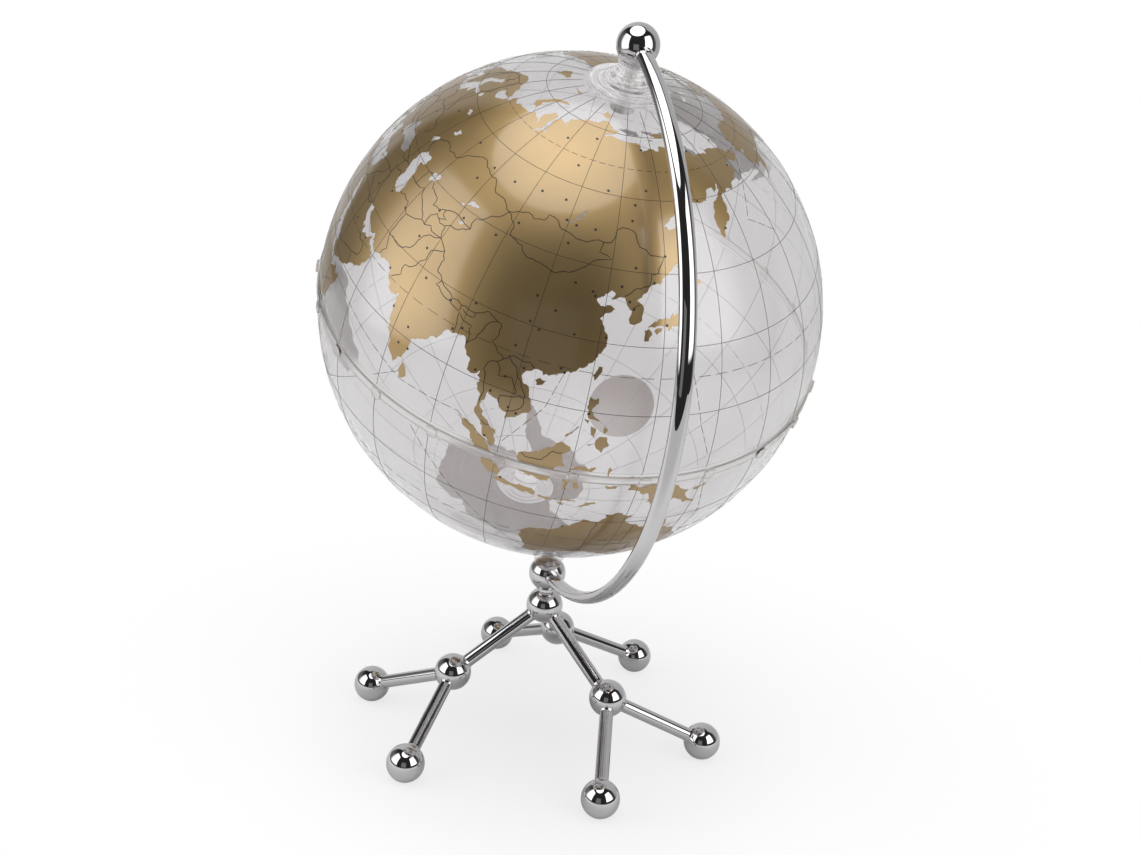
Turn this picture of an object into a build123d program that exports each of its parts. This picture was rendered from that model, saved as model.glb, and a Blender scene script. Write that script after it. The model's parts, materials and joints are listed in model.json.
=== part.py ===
"""Desktop globe on a chrome stand: clear shells on a polar pin, carried by a ball and rod tripod.

Millimetres, +Z up. The tilted polar axis and the meridian arc lie in the XZ plane, leaning to +X.
The origin is on the table, under the middle of the whole object.
"""
import os
from math import acos, asin, cos, degrees, radians, sin, sqrt

from build123d import *

# Driving dimensions: globe
globe_radius = 100.0        # outside of the clear shells
shell_wall = 2.0
axis_tilt = 23.5            # polar axis from the vertical, in degrees
seam_band_height = 3.2      # lap band round the equator seam
seam_band_proud = 0.7
lug_count = 24
lug_width = 4.4
lug_height = 4.4
lug_corner = 1.4
lug_proud = 1.0             # above the lap band
lug_rounding = 0.45

# Driving dimensions: balls and rods of the stand
ball_diameter = 15.6
rod_diameter = 5.6
rod_rim_diameter = 6.2      # small turned rim at each end of a rod
rod_rim_width = 0.7
rod_span = 48.3             # from ball centre to ball centre
hub_height = 57.3
knee_height = 28.6
leg_bearings = (30.0, 150.0, 270.0)     # seen from above, from +X
foot_splay_angle = 51.4     # each foot rod from its leg's direction, in plan
foot_flat_diameter = 5.0
spigot_diameter = 3.4
spigot_length = 4.2
spot_face_margin = 0.1      # flat on a ball, beyond the rim that seats on it

# Driving dimensions: neck, arc, pin and cup
neck_diameter = 6.8
neck_collar_height = 0.9
stud_diameter = 4.0
stud_length = 8.6
arc_gap = 13.4              # from the globe to the inside of the arc
arc_depth = 5.0             # of the oval section, towards the globe
arc_width = 6.4             # of the oval section, across the arc's plane
pin_diameter = 4.0
pin_seat_depth = 4.8        # of the pin in the top ball
pin_head_diameter = 9.0
pin_head_height = 2.0
washer_diameter = 9.6
washer_thickness = 0.5
cup_foot_radius = 5.7       # inside edge of the cup, on the ball
cup_top_radius = 7.0
cup_wall = 1.4
cup_floor = 2.4
cup_lip = 0.4

# Driving dimensions: pole caps
stem_radius = 5.5           # through the hole in each shell
stem_reach = 5.0            # inside the shell
flange_radius = 14.6
flange_edge = 1.9
flange_crown = 1.4          # top of the flange at its inner edge, above the pole
step_radii = (11.8, 9.6, 7.4)
step_heights = (1.7, 2.6, 3.6)          # above the pole
neck_waist = 5.4            # least radius between the steps and the ball
ball_cup_radius = 4.4       # inside edge of the cup round the top ball
ball_cup_lip = 1.3
south_flange_radius = 12.5
south_flange_edge = 0.8
south_flange_crown = 0.5
south_step_radii = (9.6, 6.8)
south_step_heights = (1.2, 2.2)
south_dome_height = 3.2

# Clearances
bond_gap = 0.05             # glue line between pieces that don't move
running_gap = 0.05          # radial, pin in its bearing
body_gap = 0.3              # between the globe and the stand elsewhere
end_play = 0.1              # of the globe along the pin
blind_gap = 0.3             # beyond a spigot, stud or pin at the end of its bore

# Worked out from the driving dimensions
ball_radius = ball_diameter / 2
inner_radius = globe_radius - shell_wall
arc_radius = globe_radius + arc_gap + arc_depth / 2
hub_x = -(arc_radius + arc_depth / 2 - globe_radius) / 2


def flat_distance(flat_diameter):
    """Distance from a ball's centre to a flat of this diameter on it."""
    return sqrt(ball_radius**2 - (flat_diameter / 2) ** 2)


def on_circle(radius, across):
    """Height of a point on a circle, at this distance from its axis."""
    return sqrt(radius**2 - across**2)


def heading(bearing):
    """Level unit vector at this bearing, in degrees from +X."""
    return Vector(cos(radians(bearing)), sin(radians(bearing)), 0)


rod_seat = flat_distance(rod_rim_diameter + 2 * spot_face_margin)
neck_seat = flat_distance(neck_diameter)
foot_height = flat_distance(foot_flat_diameter)
leg_reach = sqrt(rod_span**2 - (hub_height - knee_height) ** 2)
foot_reach = sqrt(rod_span**2 - (knee_height - foot_height) ** 2)

hub_center = Vector(hub_x, 0, hub_height)
lower_center = hub_center + Vector(0, 0, 2 * neck_seat + neck_collar_height)
globe_center = lower_center + Vector(0, 0, arc_radius)
polar_direction = Vector(sin(radians(axis_tilt)), 0, cos(radians(axis_tilt)))
top_center = globe_center + polar_direction * arc_radius
knee_centers = [
    hub_center + heading(b) * leg_reach - Vector(0, 0, hub_height - knee_height) for b in leg_bearings
]
foot_drop = Vector(0, 0, knee_height - foot_height)
foot_centers = [
    [knee + heading(bearing + side * foot_splay_angle) * foot_reach - foot_drop for side in (-1, 1)]
    for knee, bearing in zip(knee_centers, leg_bearings)
]

# Profiles are drawn on these planes: X is the distance from the axis, Y runs along it
polar_axis = Axis(globe_center, polar_direction)
polar_section = Plane(globe_center, x_dir=polar_direction.cross(Vector(0, -1, 0)), z_dir=(0, -1, 0))
stand_axis = Axis(lower_center, (0, 0, 1))
stand_section = Plane(lower_center, x_dir=(1, 0, 0), z_dir=(0, -1, 0))

# The arc's end planes face the balls, where a flat as wide as the arc is cut
arc_seat_diameter = arc_width + 4 * spot_face_margin
arc_seat_turn = degrees(asin(flat_distance(arc_seat_diameter) / arc_radius))
arc_start = axis_tilt + arc_seat_turn
arc_end = 180 - arc_seat_turn


def arc_plane(turn, along):
    """Plane across the arc, at an angle from the vertical, facing along (+1) or back (-1)."""
    outward = Vector(sin(radians(turn)), 0, cos(radians(turn)))
    tangent = Vector(cos(radians(turn)), 0, -sin(radians(turn)))
    return Plane(globe_center + outward * arc_radius, x_dir=outward, z_dir=tangent * along)


def finish(piece, name):
    """Label a finished piece and write it to its own file."""
    piece.part.label = name
    export_step(piece.part, f"parts/{name}.step")


def rod_seats(center, targets):
    """Seat planes on a ball for rods that run towards the target points."""
    ways = [(target - center).normalized() for target in targets]
    return [Plane(center + way * rod_seat, z_dir=way) for way in ways]


def make_ball(name, center, seats, seam_bearing, ground_flat=False):
    """Ball with a flat and a blind bore for each seat, given as (plane, bore diameter, bore depth).

    The sphere's own seam line is turned to a bearing where there is no seat.
    """
    with BuildPart() as ball:
        with Locations(center):
            Sphere(ball_radius, rotation=(0, 0, seam_bearing))
        for plane, bore_diameter, depth in seats:
            with BuildSketch(plane):
                Circle(ball_radius)
            extrude(amount=ball_radius, mode=Mode.SUBTRACT)
            with Locations(plane):
                Hole(bore_diameter / 2 + bond_gap, depth=depth + blind_gap)
        if ground_flat:
            with BuildSketch(Plane.XY):
                with Locations((center.X, center.Y)):
                    Circle(ball_radius)
            extrude(amount=-ball_radius, mode=Mode.SUBTRACT)
    finish(ball, name)


def make_rod(name, start, end):
    """Rod between two balls: a rim and a reduced spigot at each end."""
    way = (end - start).normalized()
    shoulder = start + way * rod_seat
    length = (end - start).length - 2 * rod_seat
    spigot = spigot_diameter / 2
    rim = rod_rim_diameter / 2
    with BuildPart() as rod:
        with BuildSketch(Plane(shoulder, x_dir=way, z_dir=way.cross(Vector(0, 0, 1)))):
            with BuildLine():
                Polyline(
                    (-spigot_length, 0),
                    (-spigot_length, spigot),
                    (0, spigot),
                    (0, rim),
                    (rod_rim_width, rod_diameter / 2),
                    (length - rod_rim_width, rod_diameter / 2),
                    (length, rim),
                    (length, spigot),
                    (length + spigot_length, spigot),
                    (length + spigot_length, 0),
                    close=True,
                )
            make_face()
        revolve(axis=Axis(shoulder, way))
    finish(rod, name)


def make_tripod():
    """Hub, legs, knees, foot rods and feet, numbered round the stand from the arc."""
    rod_bore = (spigot_diameter, spigot_length)
    stud_bore = (stud_diameter, (stud_length - neck_collar_height) / 2)
    hub_top = Plane(hub_center + Vector(0, 0, neck_seat))
    hub_seats = [(plane, *rod_bore) for plane in rod_seats(hub_center, knee_centers)]
    between_legs = (leg_bearings[0] + leg_bearings[1]) / 2
    make_ball("hub_ball", hub_center, hub_seats + [(hub_top, *stud_bore)], between_legs)
    for leg, (knee, feet) in enumerate(zip(knee_centers, foot_centers)):
        outward = leg_bearings[leg]
        make_rod(f"leg_rod_{leg + 1}", hub_center, knee)
        knee_seats = rod_seats(knee, [hub_center, *feet])
        make_ball(f"knee_ball_{leg + 1}", knee, [(plane, *rod_bore) for plane in knee_seats], outward)
        for side, foot in enumerate(feet):
            number = 2 * leg + side + 1
            make_rod(f"foot_rod_{number}", knee, foot)
            foot_seats = [(plane, *rod_bore) for plane in rod_seats(foot, [knee])]
            make_ball(f"foot_ball_{number}", foot, foot_seats, outward, ground_flat=True)


def make_neck():
    """Collar and stud that join the hub to the lower ball."""
    collar_base = Plane(hub_center + Vector(0, 0, neck_seat))
    with BuildPart() as collar:
        with BuildSketch(collar_base):
            Circle(neck_diameter / 2)
            Circle(stud_diameter / 2 + bond_gap, mode=Mode.SUBTRACT)
        extrude(amount=neck_collar_height)
    finish(collar, "neck_collar")

    with BuildPart() as stud:
        with BuildSketch(collar_base.offset((neck_collar_height - stud_length) / 2)):
            Circle(stud_diameter / 2)
        extrude(amount=stud_length)
    finish(stud, "neck_stud")


def make_arc_and_balls():
    """Oval bar round the globe, and the balls at its two ends."""
    start_plane = arc_plane(arc_start, -1)
    end_plane = arc_plane(arc_end, 1)
    with BuildPart() as arc:
        with BuildSketch(start_plane):
            Ellipse(arc_depth / 2, arc_width / 2)
        revolve(axis=Axis(globe_center, (0, 1, 0)), revolution_arc=arc_end - arc_start)
        for plane in (start_plane, end_plane):
            with BuildSketch(plane):
                Circle(spigot_diameter / 2)
            extrude(amount=spigot_length)
    finish(arc, "meridian_arc")

    stud_bore = (stud_diameter, (stud_length - neck_collar_height) / 2)
    lower_seat = Plane(lower_center - Vector(0, 0, neck_seat), z_dir=(0, 0, -1))
    lower_seats = [(arc_plane(arc_end, -1), spigot_diameter, spigot_length), (lower_seat, *stud_bore)]
    away_from_arc = 180
    make_ball("lower_ball", lower_center, lower_seats, away_from_arc)

    pin_seat = Plane(top_center - polar_direction * flat_distance(pin_diameter), z_dir=-polar_direction)
    top_seats = [
        (arc_plane(arc_start, 1), spigot_diameter, spigot_length),
        (pin_seat, pin_diameter, pin_seat_depth),
    ]
    make_ball("top_ball", top_center, top_seats, away_from_arc)


def make_pivot():
    """Pin that hangs the globe from the top ball, and the slip washer on its head."""
    stem_end = inner_radius - stem_reach
    washer_base = stem_end - end_play - washer_thickness
    pin_top = arc_radius - flat_distance(pin_diameter) + pin_seat_depth
    with BuildPart() as pin:
        with BuildSketch(polar_section):
            with BuildLine():
                Polyline(
                    (0, washer_base - pin_head_height),
                    (pin_head_diameter / 2, washer_base - pin_head_height),
                    (pin_head_diameter / 2, washer_base),
                    (pin_diameter / 2, washer_base),
                    (pin_diameter / 2, pin_top),
                    (0, pin_top),
                    close=True,
                )
            make_face()
        revolve(axis=polar_axis)
    finish(pin, "pivot_pin")

    with BuildPart() as washer:
        with BuildSketch(Plane(globe_center + polar_direction * washer_base, z_dir=polar_direction)):
            Circle(washer_diameter / 2)
            Circle(pin_diameter / 2 + bond_gap, mode=Mode.SUBTRACT)
        extrude(amount=washer_thickness)
    finish(washer, "pivot_washer")


def make_support_cup():
    """Clear cone on the lower ball, hollow above, whose rim lies just under the globe."""
    seat_radius = ball_radius + bond_gap
    foot_y = on_circle(seat_radius, cup_foot_radius)
    rim_radius = globe_radius + body_gap
    floor_y = seat_radius + cup_floor
    outer_y = arc_radius - on_circle(rim_radius, cup_top_radius)
    inner_y = arc_radius - on_circle(rim_radius, cup_top_radius - cup_wall)
    with BuildPart() as cup:
        with BuildSketch(stand_section):
            with BuildLine():
                sweep = degrees(asin(cup_foot_radius / seat_radius))
                CenterArc((0, 0), seat_radius, 90 - sweep, sweep)
                Polyline(
                    (cup_foot_radius, foot_y),
                    (cup_foot_radius + cup_lip, foot_y),
                    (cup_top_radius, outer_y),
                    (cup_top_radius - cup_wall, inner_y),
                    (cup_foot_radius - cup_wall, floor_y),
                    (0, floor_y),
                    (0, seat_radius),
                )
            make_face()
        revolve(axis=stand_axis)
    finish(cup, "support_cup")


def make_shells():
    """Clear hemispheres. The southern one carries the lap band and the lugs of the seam."""
    hole = stem_radius + bond_gap
    outer_sweep = degrees(acos(hole / globe_radius))
    inner_sweep = degrees(acos(hole / inner_radius))
    with BuildPart() as north:
        with BuildSketch(polar_section):
            with BuildLine():
                outer = CenterArc((0, 0), globe_radius, 0, outer_sweep)
                inner = CenterArc((0, 0), inner_radius, 0, inner_sweep)
                Line(inner @ 0, outer @ 0)
                Line(outer @ 1, inner @ 1)
            make_face()
        revolve(axis=polar_axis)
    finish(north, "north_shell")

    half_band = seam_band_height / 2
    band_inner = globe_radius + bond_gap
    band_outer = globe_radius + seam_band_proud
    below_band = degrees(asin(half_band / globe_radius))
    with BuildPart() as lug:
        with BuildSketch(Plane.YZ.offset((band_inner + band_outer) / 2)):
            RectangleRounded(lug_width, lug_height, lug_corner)
        extrude(amount=(band_outer - band_inner) / 2 + lug_proud)
        fillet(lug.faces().sort_by(Axis.X)[-1].edges(), radius=lug_rounding)
    with BuildPart() as south:
        with BuildSketch(polar_section):
            with BuildLine():
                outer = CenterArc((0, 0), globe_radius, -below_band, below_band - outer_sweep)
                inner = CenterArc((0, 0), inner_radius, 0, -inner_sweep)
                Line(outer @ 1, inner @ 1)
                Polyline(
                    inner @ 0,
                    (band_inner, 0),
                    (band_inner, half_band),
                    (band_outer, half_band),
                    (band_outer, -half_band),
                    outer @ 0,
                )
            make_face()
        revolve(axis=polar_axis)
        equator = Plane(globe_center, x_dir=polar_section.x_dir, z_dir=polar_direction)
        with Locations(equator):
            with PolarLocations(0, lug_count):
                add(lug.part)
    finish(south, "south_shell")


def make_north_cap():
    """Clear stepped cap, with a cup under the top ball and a stem that is the pin's bearing."""
    bore = pin_diameter / 2 + running_gap
    seat_radius = globe_radius + bond_gap
    cup_radius = ball_radius + body_gap
    stem_angle = degrees(acos(stem_radius / seat_radius))
    flange_angle = degrees(acos(flange_radius / seat_radius))
    bore_angle = degrees(asin(bore / cup_radius))
    lip_angle = degrees(asin(ball_cup_radius / cup_radius))
    lip_y = arc_radius - on_circle(cup_radius, ball_cup_radius)
    waist_y = (lip_y + globe_radius + step_heights[-1]) / 2
    treads = [(flange_radius, on_circle(seat_radius, flange_radius) + flange_edge)]
    level = flange_crown
    for radius, height in zip(step_radii, step_heights):
        treads += [(radius, globe_radius + level), (radius, globe_radius + height)]
        level = height
    with BuildPart() as cap:
        with BuildSketch(polar_section):
            with BuildLine():
                seat = CenterArc((0, 0), seat_radius, flange_angle, stem_angle - flange_angle)
                cup = CenterArc((0, arc_radius), cup_radius, bore_angle - 90, lip_angle - bore_angle)
                Line(seat @ 0, treads[0])
                Polyline(*treads)
                ThreePointArc(
                    treads[-1], (neck_waist, waist_y), (ball_cup_radius + ball_cup_lip, lip_y)
                )
                Line((ball_cup_radius + ball_cup_lip, lip_y), cup @ 1)
                Polyline(
                    cup @ 0,
                    (bore, inner_radius - stem_reach),
                    (stem_radius, inner_radius - stem_reach),
                    seat @ 1,
                )
            make_face()
        revolve(axis=polar_axis)
    finish(cap, "north_cap")


def make_south_cap():
    """Clear stepped plug in the south pole's hole, with a low domed top."""
    seat_radius = globe_radius + bond_gap
    stem_angle = degrees(acos(stem_radius / seat_radius))
    flange_angle = degrees(acos(south_flange_radius / seat_radius))
    treads = [(south_flange_radius, -on_circle(seat_radius, south_flange_radius) - south_flange_edge)]
    level = south_flange_crown
    for radius, height in zip(south_step_radii, south_step_heights):
        treads += [(radius, -globe_radius - level), (radius, -globe_radius - height)]
        level = height
    dome_rise = south_dome_height - south_step_heights[-1]
    dome_radius = (south_step_radii[-1] ** 2 + dome_rise**2) / (2 * dome_rise)
    dome_sweep = degrees(asin(south_step_radii[-1] / dome_radius))
    dome_top = -globe_radius - south_dome_height
    with BuildPart() as cap:
        with BuildSketch(polar_section):
            with BuildLine():
                seat = CenterArc((0, 0), seat_radius, -flange_angle, flange_angle - stem_angle)
                Line(seat @ 0, treads[0])
                Polyline(*treads)
                CenterArc((0, dome_top + dome_radius), dome_radius, -90, dome_sweep)
                Polyline(
                    (0, dome_top),
                    (0, stem_reach - inner_radius),
                    (stem_radius, stem_reach - inner_radius),
                    seat @ 1,
                )
            make_face()
        revolve(axis=polar_axis)
    finish(cap, "south_cap")


os.makedirs("parts", exist_ok=True)
make_tripod()
make_neck()
make_arc_and_balls()
make_pivot()
make_support_cup()
make_shells()
make_north_cap()
make_south_cap()
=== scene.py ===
"""Looks of the desktop globe: clear shells with a printed map, on a chrome ball and rod stand."""
import json
import random
from math import asin, ceil, cos, degrees, pi, radians, sin, sqrt

import bpy
import numpy as np
from mathutils import Matrix, Vector
from mathutils.geometry import delaunay_2d_cdt


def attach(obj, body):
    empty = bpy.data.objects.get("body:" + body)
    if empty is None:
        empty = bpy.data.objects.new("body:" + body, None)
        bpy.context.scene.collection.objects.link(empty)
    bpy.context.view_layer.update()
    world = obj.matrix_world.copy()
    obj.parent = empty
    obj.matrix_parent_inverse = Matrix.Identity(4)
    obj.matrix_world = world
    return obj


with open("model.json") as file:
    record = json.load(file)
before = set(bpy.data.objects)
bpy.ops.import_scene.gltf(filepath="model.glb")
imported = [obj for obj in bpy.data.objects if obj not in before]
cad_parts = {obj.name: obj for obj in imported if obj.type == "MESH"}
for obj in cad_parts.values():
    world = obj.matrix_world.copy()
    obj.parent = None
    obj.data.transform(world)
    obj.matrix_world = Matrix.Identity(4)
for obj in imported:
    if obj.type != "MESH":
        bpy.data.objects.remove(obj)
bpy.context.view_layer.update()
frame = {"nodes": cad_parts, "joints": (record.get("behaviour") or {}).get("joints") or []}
nodes = frame["nodes"]

# Sizes in metres, the same as in the model
MM = 0.001
GLOBE_RADIUS = 100 * MM
AXIS_TILT = radians(23.5)

# Where the map stands on the globe at rest; angles in degrees
joint = frame["joints"][0]
GLOBE_CENTER = Vector(joint["pos_m"])
POLE = Vector(joint["axis"]).normalized()
UP = Vector((0, 0, 1))
ARC_SIDE = Vector((cos(AXIS_TILT), 0, -sin(AXIS_TILT)))
ARC_LEFT = Vector((0, 1, 0))
ARC_LONGITUDE = 135.87          # longitude that lies under the arc
PRINT_SCALE = 0.977             # the printed latitudes are a little short of true
EQUATOR_LIFT = 1.5              # and sit this far north at the equator,
EQUATOR_LIFT_END = 40           # but no longer at this latitude
BAND_LATITUDE = 1.0             # the print stops at the clear band round the equator
NORTH_CAP_LATITUDE = 81.3       # and at the pole caps
SOUTH_CAP_LATITUDE = -82.6
CAP_MARGIN = 0.01               # so that a line which ends at the north cap counts as clear of it

# The print as thin solids on the shells, heights above the shell
LAND_BOTTOM = 0.02 * MM
LAND_TOP = 0.06 * MM
LAND_STEP = 2.2                 # degrees between points inside printed land
LAND_MARGIN = 0.45              # share of that step which such a point keeps from the coast
LINE_BOTTOM = 0.012 * MM
LINE_TOP = 0.075 * MM
LINE_STEP = 1.5                 # degrees along a printed line
FULL_CIRCLE = int(360 / LINE_STEP)
COAST_SEED = 11
COAST_ROUGHNESS = 0.13          # sideways share of a coast's own length
COAST_DETAIL = radians(0.55)    # no finer than this
CHART_EDGE = -0.6               # a flat chart isn't used beyond this cosine from its middle
SAME_POINT = 1e-7               # points of a flat chart this near are one

# The grid, borders, routes and dots
GRID_STEP = 15                  # degrees between printed meridians and parallels
GRID_SOUTH = -84
GRID_NORTH = 83
GRID_LAST_PARALLEL = 75
GRID_WIDTH = 0.17 * MM
DASHED_PARALLELS = (-66.56, -23.44, 23.44, 66.56)
CIRCLE_DASH = (2, 1)            # steps drawn and steps left out
ROUTE_STEP = LINE_STEP / 2
ROUTE_DASH = (3, 1)
BORDER_WIDTH = 0.3 * MM
BORDER_STEP = 3                 # degrees
BORDER_SEED = 5
BORDER_WANDER = 0.16            # sideways share of a border's straight run
DOT_RADIUS = 0.5 * MM
DOT_SIDES = 10

# The compass rose, on clear sea; lengths along it are shares of its radius
ROSE_PLACE = (-103.6, -55.0)
ROSE_RADIUS = 9.0               # in degrees
ROSE_DISC_RINGS = 5
ROSE_DISC_SIDES = 64
ROSE_POINTS = 8
ROSE_LONG = 0.72
ROSE_SHORT = 0.5
ROSE_WAIST = 0.16
ROSE_RINGS = (0.78, 0.92)
ROSE_RING_STEP = 6
ROSE_TICKS = (0.8, 0.9)
ROSE_TICK_STEP = 15
STAR_STEPS = 6                  # along each point of the star, so that it follows the globe
STAR_TOP = 0.1 * MM

# The photograph's camera
CAMERA_PLACE = Vector((0.52584, -0.19383, 0.32095))
CAMERA_RIGHT = Vector((0.320567, 0.943452, 0.084473))
CAMERA_UP = Vector((-0.317029, 0.022827, 0.948141))
CAMERA_BACK = Vector((0.892596, -0.330723, 0.306419))
FOCAL_PIXELS = 1449.9
IMAGE_WIDTH = 1140
SENSOR_WIDTH = 36.0
FRONT = Vector((0.9374, -0.3483, 0))    # level, from the globe towards the camera
SIDE = Vector((0.3483, 0.9374, 0))      # level, to the camera's right

# Looks
NOISE_MIDDLE = (0.3, 0.7)       # most of a noise lies between these
WEAR_SCALES = (34, 420)         # noise for drifting roughness and for handling marks
INK_SCALES = (22, 900)          # noise for thick and thin ink and for its grain
INK_DRIFT = (0.9, 1.15)         # change of an ink's roughness
FINE_HEIGHT = 0.02 * MM
RING_SLOPE = 0.8                # height that counts as much as a step outwards
RING_CREST = (0.2, 0.9)
RING_SPACING = 3.2 * MM
RING_HEIGHT = 0.3 * MM
RING_BEND = 0.8
# Colour of the painted shade in the cap's rings, where the steps' edges bend light away
RING_PAINTED_SHADE = (0.74, 0.725, 0.725)
SEAM_HALF = 2.4 * MM            # half the height of the clear seam; the lap lies inside it
SEAM_FADE = 1.1
SEAM_TINT = (0.99, 0.985, 0.985, 1)
LAP_HALF = 1.6 * MM
LAP_LINE_HALF = 0.13 * MM
# Painted shade along the lap's edges and the lugs' walls, where their steps bend light away
LAP_PAINTED_SHADE = (0.5, 0.46, 0.42, 1)
LAP_ROUGHNESS = 0.28
LUG_WALL_MIDDLE = 101.15 * MM   # from the axis to the middle of the lugs' walls
LUG_WALL_HALF = 0.38 * MM

# The studio: distances in metres, angles in degrees round from the camera's side to the right
SEEN_THROUGH = 0.8              # brightness of the white surroundings through the clear plastic
TABLE_FRONT = 0.42
TABLE_SIDE = 0.62
TABLE_BACK = 2.0
TABLE_BACK_SIDE = 1.6
FLOOR_DROP = 0.2 * MM
# Each change over the table: where it starts and ends, and its first and last value
TABLE_FADE = (0.08, 0.26, 0.74, 1.0)    # share of plain white, away from the stand
TABLE_SHADE = (0.0, 0.13, 0.4, 0.75)    # painted shadow: brightness, rising away from the stand
TABLE_DUSK = (0.11, 0.26, 1.0, 0.72)    # painted shade: brightness, falling again towards the camera
BACKDROP_RIGHT = 104
BACKDROP_LEFT = 222
BACKDROP_EDGE = (-0.04, 0.08)
BACKDROP_TOP = (0.95, 0.85)
BACKDROP_GLOW = (-0.8, 0.8, 0.82, 0.6)  # brightness from left to right
ROOM_BEHIND = (0.1, -0.25)
ROOM_LOW = (0.75, 0.25)
ROOM_GLOW = (0.03, 0.2)         # the dark room, and the part of it behind the globe
FILL_LIGHT = 0.7                # level of the even light from all round
BOARD_TURN = -9
BOARD_FAR = 0.58
BOARD_WIDTH = 0.27
BOARD_BOTTOM = 0.04
BOARD_TOP = 0.33
# Glow of the camera board, which stands in for a lit grey board
BOARD_GLOW = 0.24
TOP_PLACE = 0.145 * FRONT - 0.065 * SIDE + 0.7 * UP
FADE_UP_AND_DOWN = (("Y", 0.0, 0.06), ("Y", 1.0, 0.94))


def places(text):
    """Longitude and latitude pairs from text."""
    return [tuple(float(number) for number in pair.split()) for pair in text.split(",")]


def place_lists(text):
    """Several lists of places from text, with a semicolon between them."""
    return [places(part) for part in text.split(";")]
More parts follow.
